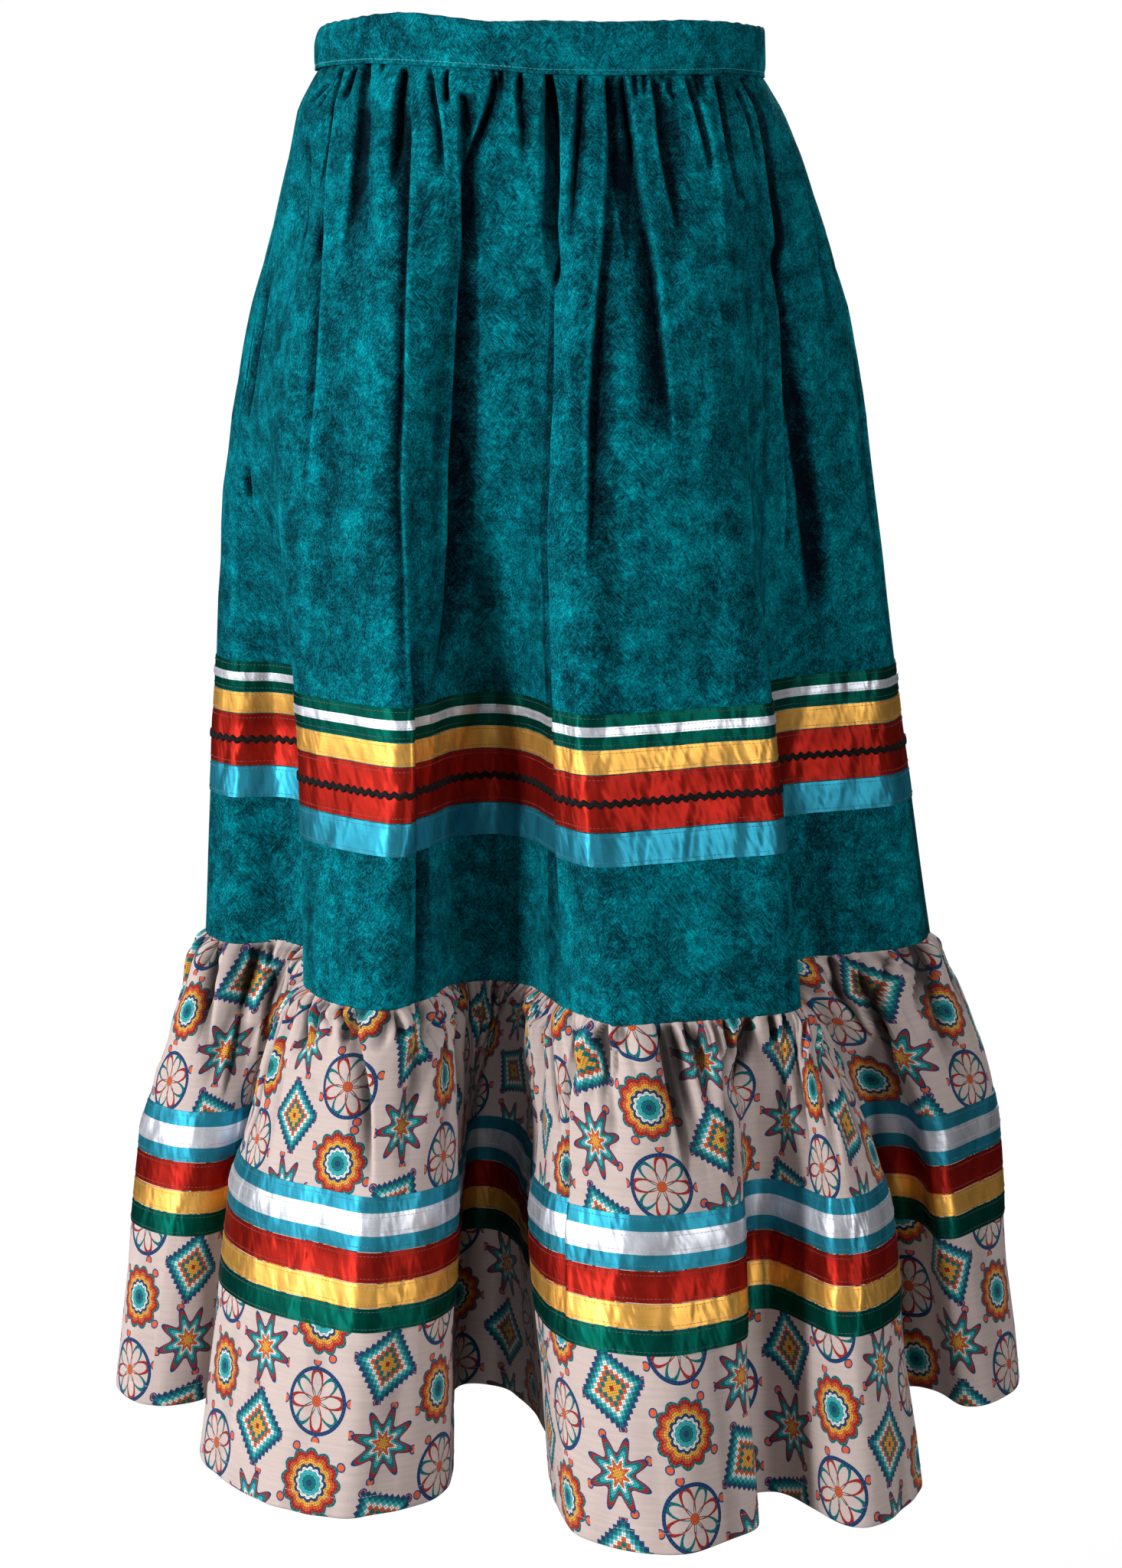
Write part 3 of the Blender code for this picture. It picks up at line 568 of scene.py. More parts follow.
# The creases of the back: the place on the cut in mm from the left seam where each starts, how far down
# it starts and ends, how far it drifts along the cut by its end, its half width, how far it stands out
# or, below zero, in, and the side on which it is steep.
Crease = namedtuple("Crease", "at top bottom drift half_width height side", defaults=(0,))
BACK_CREASES = [
    Crease(930, 18, 260, 20, 14, -9.0, -1),
    Crease(1010, 18, 180, -14, 12, -9.0, 1),
    Crease(1085, 18, 320, 18, 16, -9.5, -1),
    Crease(1160, 18, 150, 16, 12, -8.5),
    Crease(1240, 18, 280, -22, 15, -9.5, 1),
    Crease(1330, 18, 340, 10, 16, -9.5, -1),
    Crease(1410, 18, 190, -16, 12, -9.0),
    Crease(1490, 18, 260, 14, 15, -9.0, -1),
    Crease(1570, 18, 210, -12, 12, -8.5, 1),
    Crease(1650, 18, 160, 14, 12, -8.0),
    Crease(960, 120, 480, -10, 12, 4.5, 1),
    Crease(1120, 150, 560, 14, 12, 4.5, -1),
    Crease(1285, 130, 600, 6, 12, 4.5, 1),
    Crease(1450, 170, 560, -8, 12, 4.5, 1),
    Crease(1610, 140, 520, 10, 12, 4.5, -1),
]


def lap_relief(laps, places, drop):
    """How far some folds draw the cloth in, at some places in mm right of the middle."""
    total = np.zeros_like(places)
    low = drop / MM
    for lap in laps:
        drops, across = zip(*lap.way)
        if not drops[0] < low < drops[-1]:
            continue
        # A fold that starts at a gathered seam is narrow there, and deep at once.
        from_seam = drops[0] < 35 or 646 < drops[0] < 652
        grown = min((low - drops[0]) / (7 if from_seam else 30), 1)
        left = min((drops[-1] - low) / (0.45 * (drops[-1] - drops[0])), 1)
        depth = lap.depth * math.sin(grown * np.pi / 2) * math.sin(left * np.pi / 2)
        depth *= 1.5 if depth > 0 else 1.2
        width = lap.width * (0.5 + 0.5 * min((low - drops[0]) / 30, 1) if from_seam else 1)
        off = places - np.interp(low, drops, across)
        if lap.side == 0:
            total -= depth * np.exp(-(np.abs(off / width) ** (2.5 if depth > 0 else 1.6)))
        else:
            behind = off * lap.side
            total -= depth * 0.5 * (1 + np.tanh(behind / 1.1)) * np.exp(-(np.clip(behind, 0, 99) / width) ** 1.3)
            total += 0.8 * min(depth / 5, 1) * np.exp(-((behind + 1.5) / 3.0) ** 2)
    if low < 36:
        for i, place in enumerate(FRONT_NICKS):
            end = 28 + 8 * math.sin(5.0 * i)
            left = np.clip((end - low) / 9, 0, 1)
            off = places - place - 0.06 * math.sin(3.1 * i) * (low - 19)
            total -= 4.5 * left * np.exp(-np.abs(off / 1.5) ** 2)
    return total * MM


def crease_relief(creases, along, drop, whole):
    """How far some creases move the cloth out, at some places along its whole cut width."""
    total = np.zeros_like(along)
    for c in creases:
        if not c.top < drop / MM < c.bottom:
            continue
        part = (drop / MM - c.top) / (c.bottom - c.top)
        gone = drop / MM - c.top
        edge = c.top in (18, 648)
        rise = min(gone / (6 if edge else 70), 1)
        swell = math.sin(rise * np.pi / 2) * math.sin(min((1 - part) / 0.6, 1) * np.pi / 2)
        centre = (c.at + c.drift * part) * MM
        off = (along - centre + whole / 2) % whole - whole / 2
        width = c.half_width * MM * (0.5 + 0.5 * min(gone / 40, 1) if edge else 1)
        width = np.where(off * c.side > 0, 0.25, 1) * width
        total += c.height * MM * swell * np.exp(-(np.abs(off / width) ** 1.4))
    return total


band_pleats = Pleats(62, 3, 0.0080, (0.03, 0.16), uneven=0.9, sharp=0.5)
small_pleats = Pleats(124, 8, 0.0026, (0.012, 0.035), uneven=0.9, lean=8)
long_flutes = Pleats(31, 5, 0.0060, (0.20, 0.40), uneven=0.9, lean=1.2, sharp=0.8)
tier_columns = np.concatenate([np.linspace(0, 0.5, FRONT_COLUMNS + 1), np.linspace(0.5, 1, BACK_COLUMNS + 1)[1:]])


def tier_relief(drop):
    """How far the tier's cloth stands out from its smooth ring at one height."""
    below = max(drop - TIER_TOP_DROP, 0)
    shares = tier_columns
    back = np.clip((np.abs(shares - 0.75) - 0.22) / -0.04, 0, 1)
    total = back * (band_pleats.relief(shares, below) - 0.0010 * max(1 - below / 0.12, 0))
    total += (0.3 + 0.7 * back) * small_pleats.relief(shares, below, 0.006)
    grown = min(below / 0.07, 1)
    total += back * grown * (long_flutes.relief(shares, below) - 0.003 * max(1 - below / 0.4, 0))
    total += 0.0009 * ripples(shares, drop, 21, 10, (9, 34), (-1.5, 1.5)) * min(below / 0.05, 1)
    total += 0.0003 * ripples(shares, drop, 22, 12, (30, 90), (-9, 9)) * min(below / 0.05, 1)
    total += crease_relief(BACK_CREASES, shares * TIER_CUT_WIDTH, drop, TIER_CUT_WIDTH)
    front = shares <= 0.51
    places = ring_at(tier_ring(drop), shares[front])[:, 0] / MM
    total[front] += lap_relief(FRONT_LAPS, places, drop) + 0.0025 * min(below / 0.02, 1) * max(1 - below / 0.2, 0)
    return total


def painted_shading_of(relief, reach, deep):
    """The painted shading of the folds: from -1, painted shade in a hollow deeper than some depth, to 0.12, a
    painted highlight on a sharp ridge.
    """
    ring = relief[:-1]
    left = np.max([np.roll(ring, k) for k in range(1, reach + 1)], axis=0)
    right = np.max([np.roll(ring, -k) for k in range(1, reach + 1)], axis=0)
    hollow = np.clip((np.minimum(left, right) - ring) / deep, 0, 1)
    beside = sum(np.roll(ring, k) for k in range(-4, 5)) / 9
    lie = np.clip((ring - beside) / 0.0012, 0, 1) * 0.12 - hollow**0.8
    return np.append(lie, lie[0])


def painted_shading_in_folds(relief):
    """The same for the tier, where painted shade darkens the broad hollows beside the laps as well."""
    return np.clip(painted_shading_of(relief, 14, 0.007) + 0.25 * np.minimum(painted_shading_of(relief, 38, 0.011), 0), -1, 1)


def band_droop(shares, drop):
    """How far the cloth near the waist is lifted with the band."""
    return band_rise(shares, 0) * np.clip(1 - (drop - 0.02) / 0.3, 0, 1)


# How far the cloth at the two sides hangs out of its smooth ring or, below zero, inside it, all in mm.
Side = namedtuple("Side", "drop left right")
TIER_SIDES = [
    Side(18, -3, 1), Side(46, 1.5, 6), Side(73, -1, 5.5), Side(100, -3, 3), Side(126, -5, 2), Side(153, -5, -2),
    Side(180, -3, -2), Side(207, -2, -4), Side(234, -1, -5), Side(260, 2, -5), Side(287, 3, -5), Side(314, 5, -4.5),
    Side(341, 4.5, -3.5), Side(368, 3, -2), Side(395, 3, -1), Side(440, 1, 0), Side(470, 0, 0),
]  # fmt: skip


def side_hang(sides, drop, directions):
    """How far the sides hang out at one height, at points that face some directions."""
    drops, left, right = zip(*sides)
    faces = 1.5 * directions[:, 0]
    hang = np.interp(drop / MM, drops, left) * np.clip(-faces - 0.4, 0, 1)
    return (hang + np.interp(drop / MM, drops, right) * np.clip(faces - 0.4, 0, 1)) * MM


def cloth_row(ring, columns, relief, sides, drop, out):
    """The cloth's places at one height, some way out from its surface, and the directions out there."""
    places, directions = ring_at(ring, columns), ring_at(outward(ring), columns)
    directions /= np.linalg.norm(directions, axis=1)[:, None]
    return places + directions * (relief + side_hang(sides, drop, directions) + out)[:, None], directions


def tier_row(drop, out=0.0, height=None):
    """The tier's points at one height, some way out from its surface, and the directions out there."""
    places, directions = cloth_row(tier_ring(drop), tier_columns, tier_relief(drop), TIER_SIDES, drop, out)
    lifted = -(height or drop) + band_droop(np.interp(tier_columns, tier_shares, waist_shares), drop)
    return np.column_stack([places, lifted]), np.column_stack([directions, np.zeros(len(directions))])


# The ribbons on the tier, top to bottom: width, the ribbon that one lies on, colour, and how far in
# from its edges it is stitched.
Ribbon = namedtuple("Ribbon", "name width lies_on finish stitched_in")
RIBBON_SPACE = 0.0008
UPPER_RIBBONS_DROP = 0.440
UPPER_RIBBONS = [
    Ribbon("upper_ribbon_green", 0.023, None, "green", 0.0026),
    Ribbon("upper_ribbon_white", 0.0065, "upper_ribbon_green", "white", 0.0013),
    Ribbon("upper_ribbon_gold", 0.016, None, "gold", 0.0022),
    Ribbon("upper_ribbon_red", 0.038, None, "red", 0.0030),
    Ribbon("upper_ribbon_turquoise", 0.0225, None, "turquoise", 0.0026),
]


def ribbon_places(ribbons, top):
    """The drop of each ribbon's top edge."""
    starts, drop = {}, top
    for r in ribbons:
        if r.lies_on:
            carrier = next(c for c in ribbons if c.name == r.lies_on)
            starts[r.name] = starts[carrier.name] + (carrier.width - r.width) / 2
        else:
            starts[r.name] = drop
            drop += r.width + RIBBON_SPACE
    return starts


def ribbon_edges(ribbons, starts):
    """The drops of all the ribbons' edges, where the cloth gets a row of points."""
    return sorted({round(edge, 6) for r in ribbons for edge in (starts[r.name], starts[r.name] + r.width)})


def row_drops(edges, widest):
    """Heights from edge to edge, no further apart than the widest step."""
    drops = []
    for (a, b), step in zip(zip(edges[:-1], edges[1:]), widest):
        drops += list(np.linspace(a, b, max(1, math.ceil((b - a) / step - 1e-6)), endpoint=False))
    return np.array(drops + [edges[-1]])


upper_starts = ribbon_places(UPPER_RIBBONS, UPPER_RIBBONS_DROP)
upper_edges = ribbon_edges(UPPER_RIBBONS, upper_starts)
# The upper edge goes in under the band, and the rows are closest below it, where the pleats are small.
tier_edges = [0.0165, 0.06, 0.16, *upper_edges, SEAM_DROP - 0.001]
tier_drops = row_drops(tier_edges, [0.0017, 0.0027] + [0.0040] * (len(tier_edges) - 3))
tier_rows = [tier_row(d, out=-0.0022 if d < 0.0185 else 0.0) for d in tier_drops]
# The painted shading of the tier's folds, row by row: painted shade in hollows, a painted highlight on ridges.
tier_painted_shading = np.stack([painted_shading_in_folds(tier_relief(d)) for d in [*tier_drops, *[SEAM_DROP] * 3]])
# The lower edge turns in over the seam.
for out, height in ((-0.0002, SEAM_DROP + 0.0004), (-0.0008, SEAM_DROP + 0.0010), (-0.0018, SEAM_DROP + 0.0004)):
    tier_rows.append(tier_row(SEAM_DROP, out, height))
tier_grid = np.stack([points for points, _ in tier_rows])
tier_down = np.append(tier_drops, tier_drops[-1] + 0.001 * np.arange(1, 4))
for name, columns, node in (
    ("tier_front_cloth", slice(0, FRONT_COLUMNS + 1), "skirt_front"),
    ("tier_back_cloth", slice(FRONT_COLUMNS, None), "skirt_back"),
):
    along = tier_columns[columns] * TIER_CUT_WIDTH
    cloth = cloth_mesh(name, tier_grid[:, columns], along, -tier_down, teal_cotton, lie=tier_painted_shading[:, columns])
    fix(cloth, "teal_cloth", node)


# The ribbons on the tier. Five woven satin ribbons and a waved black braid, each sewn on flat along both
# edges with matching thread before the tier was gathered, one below the other and closed into hoops.
# The narrow white one lies on the green one, and the braid runs along the middle of the red one.

SATIN = {
    "green": (0.0, 0.060, 0.043),
    "white": (0.67, 0.69, 0.75),
    "gold": (0.72, 0.385, 0.085),
    "red": (0.275, 0.013, 0.008),
    "turquoise": (0.025, 0.25, 0.355),
}
# Painted shade: each thread is darker than its ribbon, and the white one's is grey, so that the stitches show as
# small shaded dashes.
THREAD = {
    "green": (0.004, 0.05, 0.04),
    "white": (0.42, 0.45, 0.50),
    "gold": (0.50, 0.23, 0.04),
    "red": (0.20, 0.015, 0.010),
    "turquoise": (0.01, 0.15, 0.21),
}
RIBBON_CLEAR = 0.0004
RIBBON_THICK = 0.00025


def satin(name, colour):
    """Satin: long floating warp threads that shine in streaks, with faint ribs across. Its colour also holds a
    painted sheen and shade that follow the streaks and puckers.
    """
    material, tree, shader = new_material(name, 0.47)
    plus, _, times, _ = sums(tree)
    broad = noise(tree, cloth_place(tree, 52, 18, 16), 1.0, 1.2, 0.3)
    small = noise(tree, cloth_place(tree, 130, 55, -20), 1.0, 1)
    pucker = plus(times(broad, 0.75), times(small, 0.25))
    streaks = noise(tree, cloth_place(tree, 25, 2600), 1.0, 2)
    # Painted sheen and shade: the base colour is painted darker and lighter by the puckers that also bump the
    # ribbon, and by fine streaks along it.
    value = plus(times(streaks, 0.2), times(pucker, 0.8))
    painted_shade_colour, light = [c * 0.76 for c in colour], [min(c * 1.16, 1) for c in colour]
    tree.links.new(ramp(tree, value, [(0.38, painted_shade_colour), (0.5, colour), (0.62, light)]), shader.inputs["Base Color"])
    # The sheen of satin takes the thread's own colour, also at a glancing angle. A partly metallic
    # finish with a tint gives that.
    shader.inputs["Metallic"].default_value = 0.7
    shader.inputs["Specular Tint"].default_value = (*[0.25 + 0.5 * c for c in colour], 1)
    shader.inputs["Specular IOR Level"].default_value = 0.12
    shader.inputs["Anisotropic"].default_value = 0.6
    shader.inputs["Anisotropic Rotation"].default_value = 0.25
    tangent = add_node(tree, "Tangent", direction_type="UV_MAP", uv_map="cloth")
    tree.links.new(tangent.outputs[0], shader.inputs["Tangent"])
    ribs = add_node(tree, "TexWave", [("Vector", cloth_place(tree)), ("Scale", 420.0)], bands_direction="X")
    bumped(tree, shader, plus(pucker, times(ribs.outputs[0], 0.002)), 1.0, 0.0038)
    return material


satins = {key: satin(f"{key}_satin", colour) for key, colour in SATIN.items()}
threads = {key: thread(f"{key}_thread", colour) for key, colour in THREAD.items()}


def sew_ribbons(ribbons, starts, row_of, drops, columns, cut_width):
    """Each ribbon follows the rows of the cloth under it, and has its two rows of stitches."""
    for seed, r in enumerate(ribbons):
        top, bottom = starts[r.name], starts[r.name] + r.width
        inner = [d for d in drops if top + 1e-5 < d < bottom - 1e-5]
        clear = RIBBON_CLEAR + (0.0006 if r.lies_on else 0)
        rows, down = [], []
        for d in [top, *inner, bottom]:
            # Between its two rows of stitches the ribbon stands a little off the cloth, in small puckers.
            within = min(d - top, bottom - d)
            swell = min(within / (2 * r.stitched_in), 1)
            bulge = swell * (0.0002 + 0.00025 * ripples(columns, d, 60 + seed, 8, (60, 150), (-12, 12)))
            points, directions = row_of(d)
            edge = points + directions * (clear + RIBBON_THICK + bulge)[:, None]
            if d == top:
                rows, down = [points + directions * (clear - 0.0006)], [d - 0.0002]
            rows.append(edge)
            down.append(d)
            if d == bottom:
                rows.append(points + directions * (clear - 0.0006))
                down.append(d + 0.0002)
        along = columns * cut_width
        piece = cloth_mesh(f"{r.name}_satin", np.stack(rows), along, -np.array(down), satins[r.finish], True)
        piece.data.set_sharp_from_angle(angle=0.8)
        slot = f"{r.finish}_satin"
        fix(piece, slot, r.name)
        rows = []
        for d in (top + r.stitched_in, bottom - r.stitched_in):
            points, directions = row_of(d)
            out = clear + RIBBON_THICK + 0.0002
            rows.append(stitch_row("row", points + directions * out, directions, threads[r.finish]))
        fix(joined(f"{r.name}_stitches", rows), slot)


sew_ribbons(UPPER_RIBBONS, upper_starts, tier_row, tier_drops, tier_columns, TIER_CUT_WIDTH)

# The braid is a flat plait whose edges swing up and down.
BRAID_STEPS = 3600
BRAID_PITCH = 0.0070
BRAID_SWING = 0.0010
BRAID_HALF_WIDTH = 0.0020


def black_cotton():
    """Plaited black cotton, a little paler on the crests of its strands."""
    material, tree, shader = new_material("black_braid", 0.8)
    plait = add_node(tree, "TexWave", [("Vector", cloth_place(tree, 1, 1, 45)), ("Scale", 380.0)]).outputs[0]
    blacks = [(0.2, (0.001, 0.001, 0.0015)), (0.8, (0.010, 0.010, 0.011))]
    tree.links.new(ramp(tree, plait, blacks), shader.inputs["Base Color"])
    shader.inputs["Specular IOR Level"].default_value = 0.15
    bumped(tree, shader, plait, 0.6, 0.0004)
    return material


braid_drop = upper_starts["upper_ribbon_red"] + 0.019
fine = np.linspace(0, 1, BRAID_STEPS + 1)
middle, directions = tier_row(braid_drop)
above, _ = tier_row(braid_drop - 0.003)
below, _ = tier_row(braid_drop + 0.003)


def finely(values):
    """The values of the tier's columns, at the closer steps of the braid."""
    return np.stack([np.interp(fine, tier_columns, values[:, k]) for k in range(3)], 1)


middle, directions, slope = finely(middle), finely(directions), finely((below - above) / 0.006)
walked = length_along(middle)
waves = round(walked[-1] / BRAID_PITCH)
swing = BRAID_SWING * np.sin(2 * np.pi * waves * walked / walked[-1])
rows = []
# Its section: half widths down from the middle, and mm out from the tier.
for across, out in ((-1.15, 0.65), (-1, 1.7), (-0.4, 2.1), (0.4, 2.1), (1, 1.7), (1.15, 0.65)):
    rows.append(middle + slope * (swing + across * BRAID_HALF_WIDTH)[:, None] + directions * out * MM)
braid_along, braid_down = fine * TIER_CUT_WIDTH, -np.arange(len(rows)) * 0.0005
braid = cloth_mesh("upper_rickrack_braid", np.stack(rows), braid_along, braid_down, black_cotton(), True)
fix(braid, "black_braid", "upper_rickrack")


# The ruffle. Two panels of plain-woven printed cotton, about 3.43 m round, gathered to the tier's lower
# edge in close small pleats that open into deep rounded lobes. The hem is turned up twice and stitched.
# The print is an all-over one of beadwork-like stars, wheels and stepped diamonds.

HEM_DROP = 0.993
LOWER_MIDDLE_DROP = 0.82
RUFFLE_TOP_DROP = 0.6483
RUFFLE_CUT_WIDTH, RUFFLE_CUT_HEIGHT = 3.43, 0.375
RUFFLE_FRONT_COLUMNS, RUFFLE_BACK_COLUMNS = 780, 520

# Where a fold of the ruffle stands: the share of the tier's seam that it hangs from in per cent, then
# its place in mm at the ribbons and at the hem.
RuffleFold = namedtuple("RuffleFold", "name hangs_at ribbons hem")
RUFFLE_FOLDS = [
    RuffleFold("left lobe crest", 0, (-270, 22), (-292, -12)),
    RuffleFold("left lobe turn", 2.5, (-244, 18), (-256, -4)),
    RuffleFold("left cleft floor", 5, (-222, 54), (-226, 40)),
    RuffleFold("left cleft wall", 8, (-204, 6), (-208, -22)),
    RuffleFold("second lobe edge", 10, (-222, -66), (-243, -92)),
    RuffleFold("second lobe side", 12, (-197, -130), (-216, -164)),
    RuffleFold("second lobe face", 14.5, (-152, -164), (-168, -211)),
    RuffleFold("second lobe crest", 17, (-112, -187), (-126, -222)),
    RuffleFold("second lobe turn", 19.5, (-66, -155), (-68, -182)),
    RuffleFold("front cleft left", 21.5, (-58, -60), (-64, -62)),
    RuffleFold("front cleft floor", 23.5, (-54, 24), (-58, 32)),
    RuffleFold("front cleft corner", 24.5, (-28, 22), (-26, 22)),
    RuffleFold("front cleft right", 25.5, (-8, -52), (4, -52)),
    RuffleFold("third lobe edge", 27, (2, -160), (13, -190)),
    RuffleFold("third lobe side", 28.5, (24, -201), (34, -258)),
    RuffleFold("third lobe crest", 31, (70, -225), (88, -285)),
    RuffleFold("third lobe face", 33.5, (116, -216), (130, -262)),
    RuffleFold("third lobe turn", 35, (140, -194), (151, -236)),
    RuffleFold("right tuck floor", 36.5, (142, -142), (146, -182)),
    RuffleFold("fourth lobe side", 38, (165, -136), (168, -176)),
    RuffleFold("fourth lobe crest", 40, (211, -191), (222, -240)),
    RuffleFold("fourth lobe turn", 42, (246, -156), (268, -176)),
    RuffleFold("right cleft left", 44, (244, -50), (268, -64)),
    RuffleFold("right cleft floor", 46, (252, 58), (276, 26)),
    RuffleFold("right cleft corner", 48, (282, 58), (298, 20)),
    RuffleFold("fifth lobe crest", 50, (295, 8), (321, -16)),
    RuffleFold("fifth lobe face", 53, (324, 38), (350, 4)),
    RuffleFold("right side", 55.7, (350, 80), (366, 52)),
    RuffleFold("right back corner", 58, (330, 128), (350, 118)),
    RuffleFold("sixth lobe hollow", 60.5, (274, 122), (282, 106)),
    RuffleFold("sixth lobe side", 62.5, (264, 184), (286, 212)),
    RuffleFold("sixth lobe turn", 65, (208, 202), (218, 228)),
    RuffleFold("seventh lobe hollow", 68, (178, 146), (180, 124)),
    RuffleFold("seventh lobe wall", 69.5, (160, 144), (152, 120)),
    RuffleFold("seventh lobe side", 72, (120, 208), (126, 246)),
    RuffleFold("seventh lobe turn", 75, (72, 222), (62, 260)),
    RuffleFold("eighth lobe hollow", 78, (44, 154), (44, 128)),
    RuffleFold("eighth lobe wall", 79.5, (26, 152), (16, 126)),
    RuffleFold("eighth lobe side", 82, (-20, 208), (-24, 242)),
    RuffleFold("eighth lobe turn", 85, (-74, 204), (-84, 238)),
    RuffleFold("ninth lobe hollow", 87.5, (-102, 146), (-104, 122)),
    RuffleFold("ninth lobe wall", 89, (-120, 146), (-132, 122)),
    RuffleFold("ninth lobe side", 90.8, (-164, 200), (-176, 234)),
    RuffleFold("ninth lobe turn", 93, (-208, 178), (-232, 204)),
    RuffleFold("tenth lobe hollow", 95, (-226, 122), (-236, 96)),
    RuffleFold("tenth lobe side", 97, (-284, 110), (-304, 98)),
    RuffleFold("left side", 98.5, (-301, 58), (-320, 32)),
]

ruffle_shares = fold_shares(fold_curves([f.hem for f in RUFFLE_FOLDS]))
ruffle_ribbons = fold_ring([f.ribbons for f in RUFFLE_FOLDS], ruffle_shares)
ruffle_hem = fold_ring([f.hem for f in RUFFLE_FOLDS], ruffle_shares)
hanging_shares = np.array([f.hangs_at for f in RUFFLE_FOLDS] + [100]) / 100
ruffle_top = gathered_ring(tier_seam, ruffle_shares, hanging_shares)
right_seam = ruffle_shares[[f.name for f in RUFFLE_FOLDS].index("fifth lobe crest")]
ruffle_columns = np.concatenate([np.linspace(0, right_seam, RUFFLE_FRONT_COLUMNS + 1),
                                 np.linspace(right_seam, 1, RUFFLE_BACK_COLUMNS + 1)[1:]])  # fmt: skip


def ruffle_ring(drop):
    """The ruffle's smooth ring at one height."""
    if drop < LOWER_MIDDLE_DROP:
        part = spring_out(max(drop - RUFFLE_TOP_DROP, 0) / (LOWER_MIDDLE_DROP - RUFFLE_TOP_DROP))
        return ruffle_top + (ruffle_ribbons - ruffle_top) * part
    part = (drop - LOWER_MIDDLE_DROP) / (HEM_DROP - LOWER_MIDDLE_DROP)
    return ruffle_ribbons + (ruffle_hem - ruffle_ribbons) * part


seam_pleats = Pleats(150, 31, 0.0050, (0.02, 0.060), uneven=0.9, lean=10, sharp=0.7)
open_pleats = Pleats(70, 37, 0.0070, (0.07, 0.140), uneven=0.9, lean=4, sharp=0.8)


def seam_creases(count):
    """The pinched hollows under the seam. Each has its own place, length, drift, width, depth and side."""
    rng = np.random.default_rng(53)
    creases = []
    for i in range(count):
        at = (i + rng.uniform(-0.35, 0.35)) * RUFFLE_CUT_WIDTH / MM / count
        long = rng.uniform(22, 60) if rng.random() < 0.7 else rng.uniform(70, 125)
        drift = rng.uniform(-0.25, 0.25) * long
        half_width = rng.uniform(6, 10) * (1 + long / 200)
        height = -rng.uniform(8, 15)
        creases.append(Crease(at, 648, 648 + long, drift, half_width, height, rng.choice((-1, 0, 1))))
    return creases


RUFFLE_CREASES = seam_creases(132)

# The folds under the seam in the front, read like those of the tier's front.
RUFFLE_LAPS = [
    # The left lobe
    Lap(0, 5, 5, [(648, -252), (679, -261), (700, -268)]),
    Lap(1, 5, 7, [(648, -212), (689, -220), (733, -230), (768, -235)]),
    Lap(1, 6, 8, [(648, -200), (674, -200), (704, -204), (742, -211), (767, -219)]),
    # The second lobe
    Lap(0, 6, 4, [(648, -159), (667, -160), (687, -164)]),
    Lap(0, 5, 3, [(648, -148), (658, -144), (670, -143)]),
    Lap(0, 6, 3, [(648, -136), (659, -134), (674, -132)]),
    Lap(-1, 6, 9, [(648, -117), (664, -122), (682, -119), (706, -116), (737, -115), (773, -114)]),
    Lap(0, 5, 3, [(648, -98), (656, -98), (672, -96)]),
    Lap(0, 5, 3, [(648, -88), (670, -88)]),
    Lap(0, 6, 4, [(648, -80), (669, -78), (684, -76)]),
    # The cleft in the front
    Lap(0, 7, 4, [(648, -67), (659, -71), (675, -75)]),
    Lap(0, 6, 4, [(648, -54), (661, -60), (674, -66)]),
    Lap(1, 6, 6, [(648, -32), (662, -35), (683, -41)]),
    # The third lobe
    Lap(-1, 5, 10, [(648, -7), (671, -2), (711, -3), (768, -4), (830, -3)]),
    Lap(0, 5, 4, [(648, 7), (668, 6)]),
    Lap(-1, 5, 9, [(648, 34), (682, 29), (707, 24), (739, 21), (775, 20), (812, 20), (880, 21)]),
    Lap(1, 6, 7, [(648, 43), (667, 39), (688, 36), (712, 34)]),
    Lap(1, 6, 5, [(648, 52), (664, 53), (692, 50)]),
    Lap(1, 6, 7, [(648, 80), (662, 82), (681, 86), (701, 91), (727, 97), (760, 101)]),
    Lap(-1, 5, 5, [(648, 91), (667, 98), (688, 105), (715, 111)]),
    Lap(0, 5, 3, [(648, 100), (668, 103)]),
    Lap(1, 7, 7, [(648, 126), (669, 127), (683, 123), (699, 125), (726, 127), (765, 131)]),
    Lap(0, 7, 6, [(648, 145), (669, 141), (687, 138), (712, 135)]),
    Lap(0, 5, 3, [(648, 161), (672, 162)]),
    Lap(0, 5, 3, [(648, 169), (670, 170)]),
    Lap(-1, 5, 7, [(648, 181), (675, 193), (696, 198), (720, 203), (760, 209)]),
    # The right lobes
    Lap(0, 6, 4, [(648, 213), (667, 216), (690, 222)]),
    Lap(1, 7, 8, [(648, 232), (676, 236), (698, 241), (735, 254)]),
    Lap(-1, 7, 6, [(648, 260), (668, 254), (686, 250), (707, 255), (736, 263), (770, 272)]),
    Lap(0, 3, 3, [(648, 267), (668, 266)]),
    Lap(1, 4, 7, [(648, 276), (675, 277), (702, 274)]),
    Lap(-1, 5, 5, [(648, 283), (668, 290), (697, 297), (735, 306)]),
]


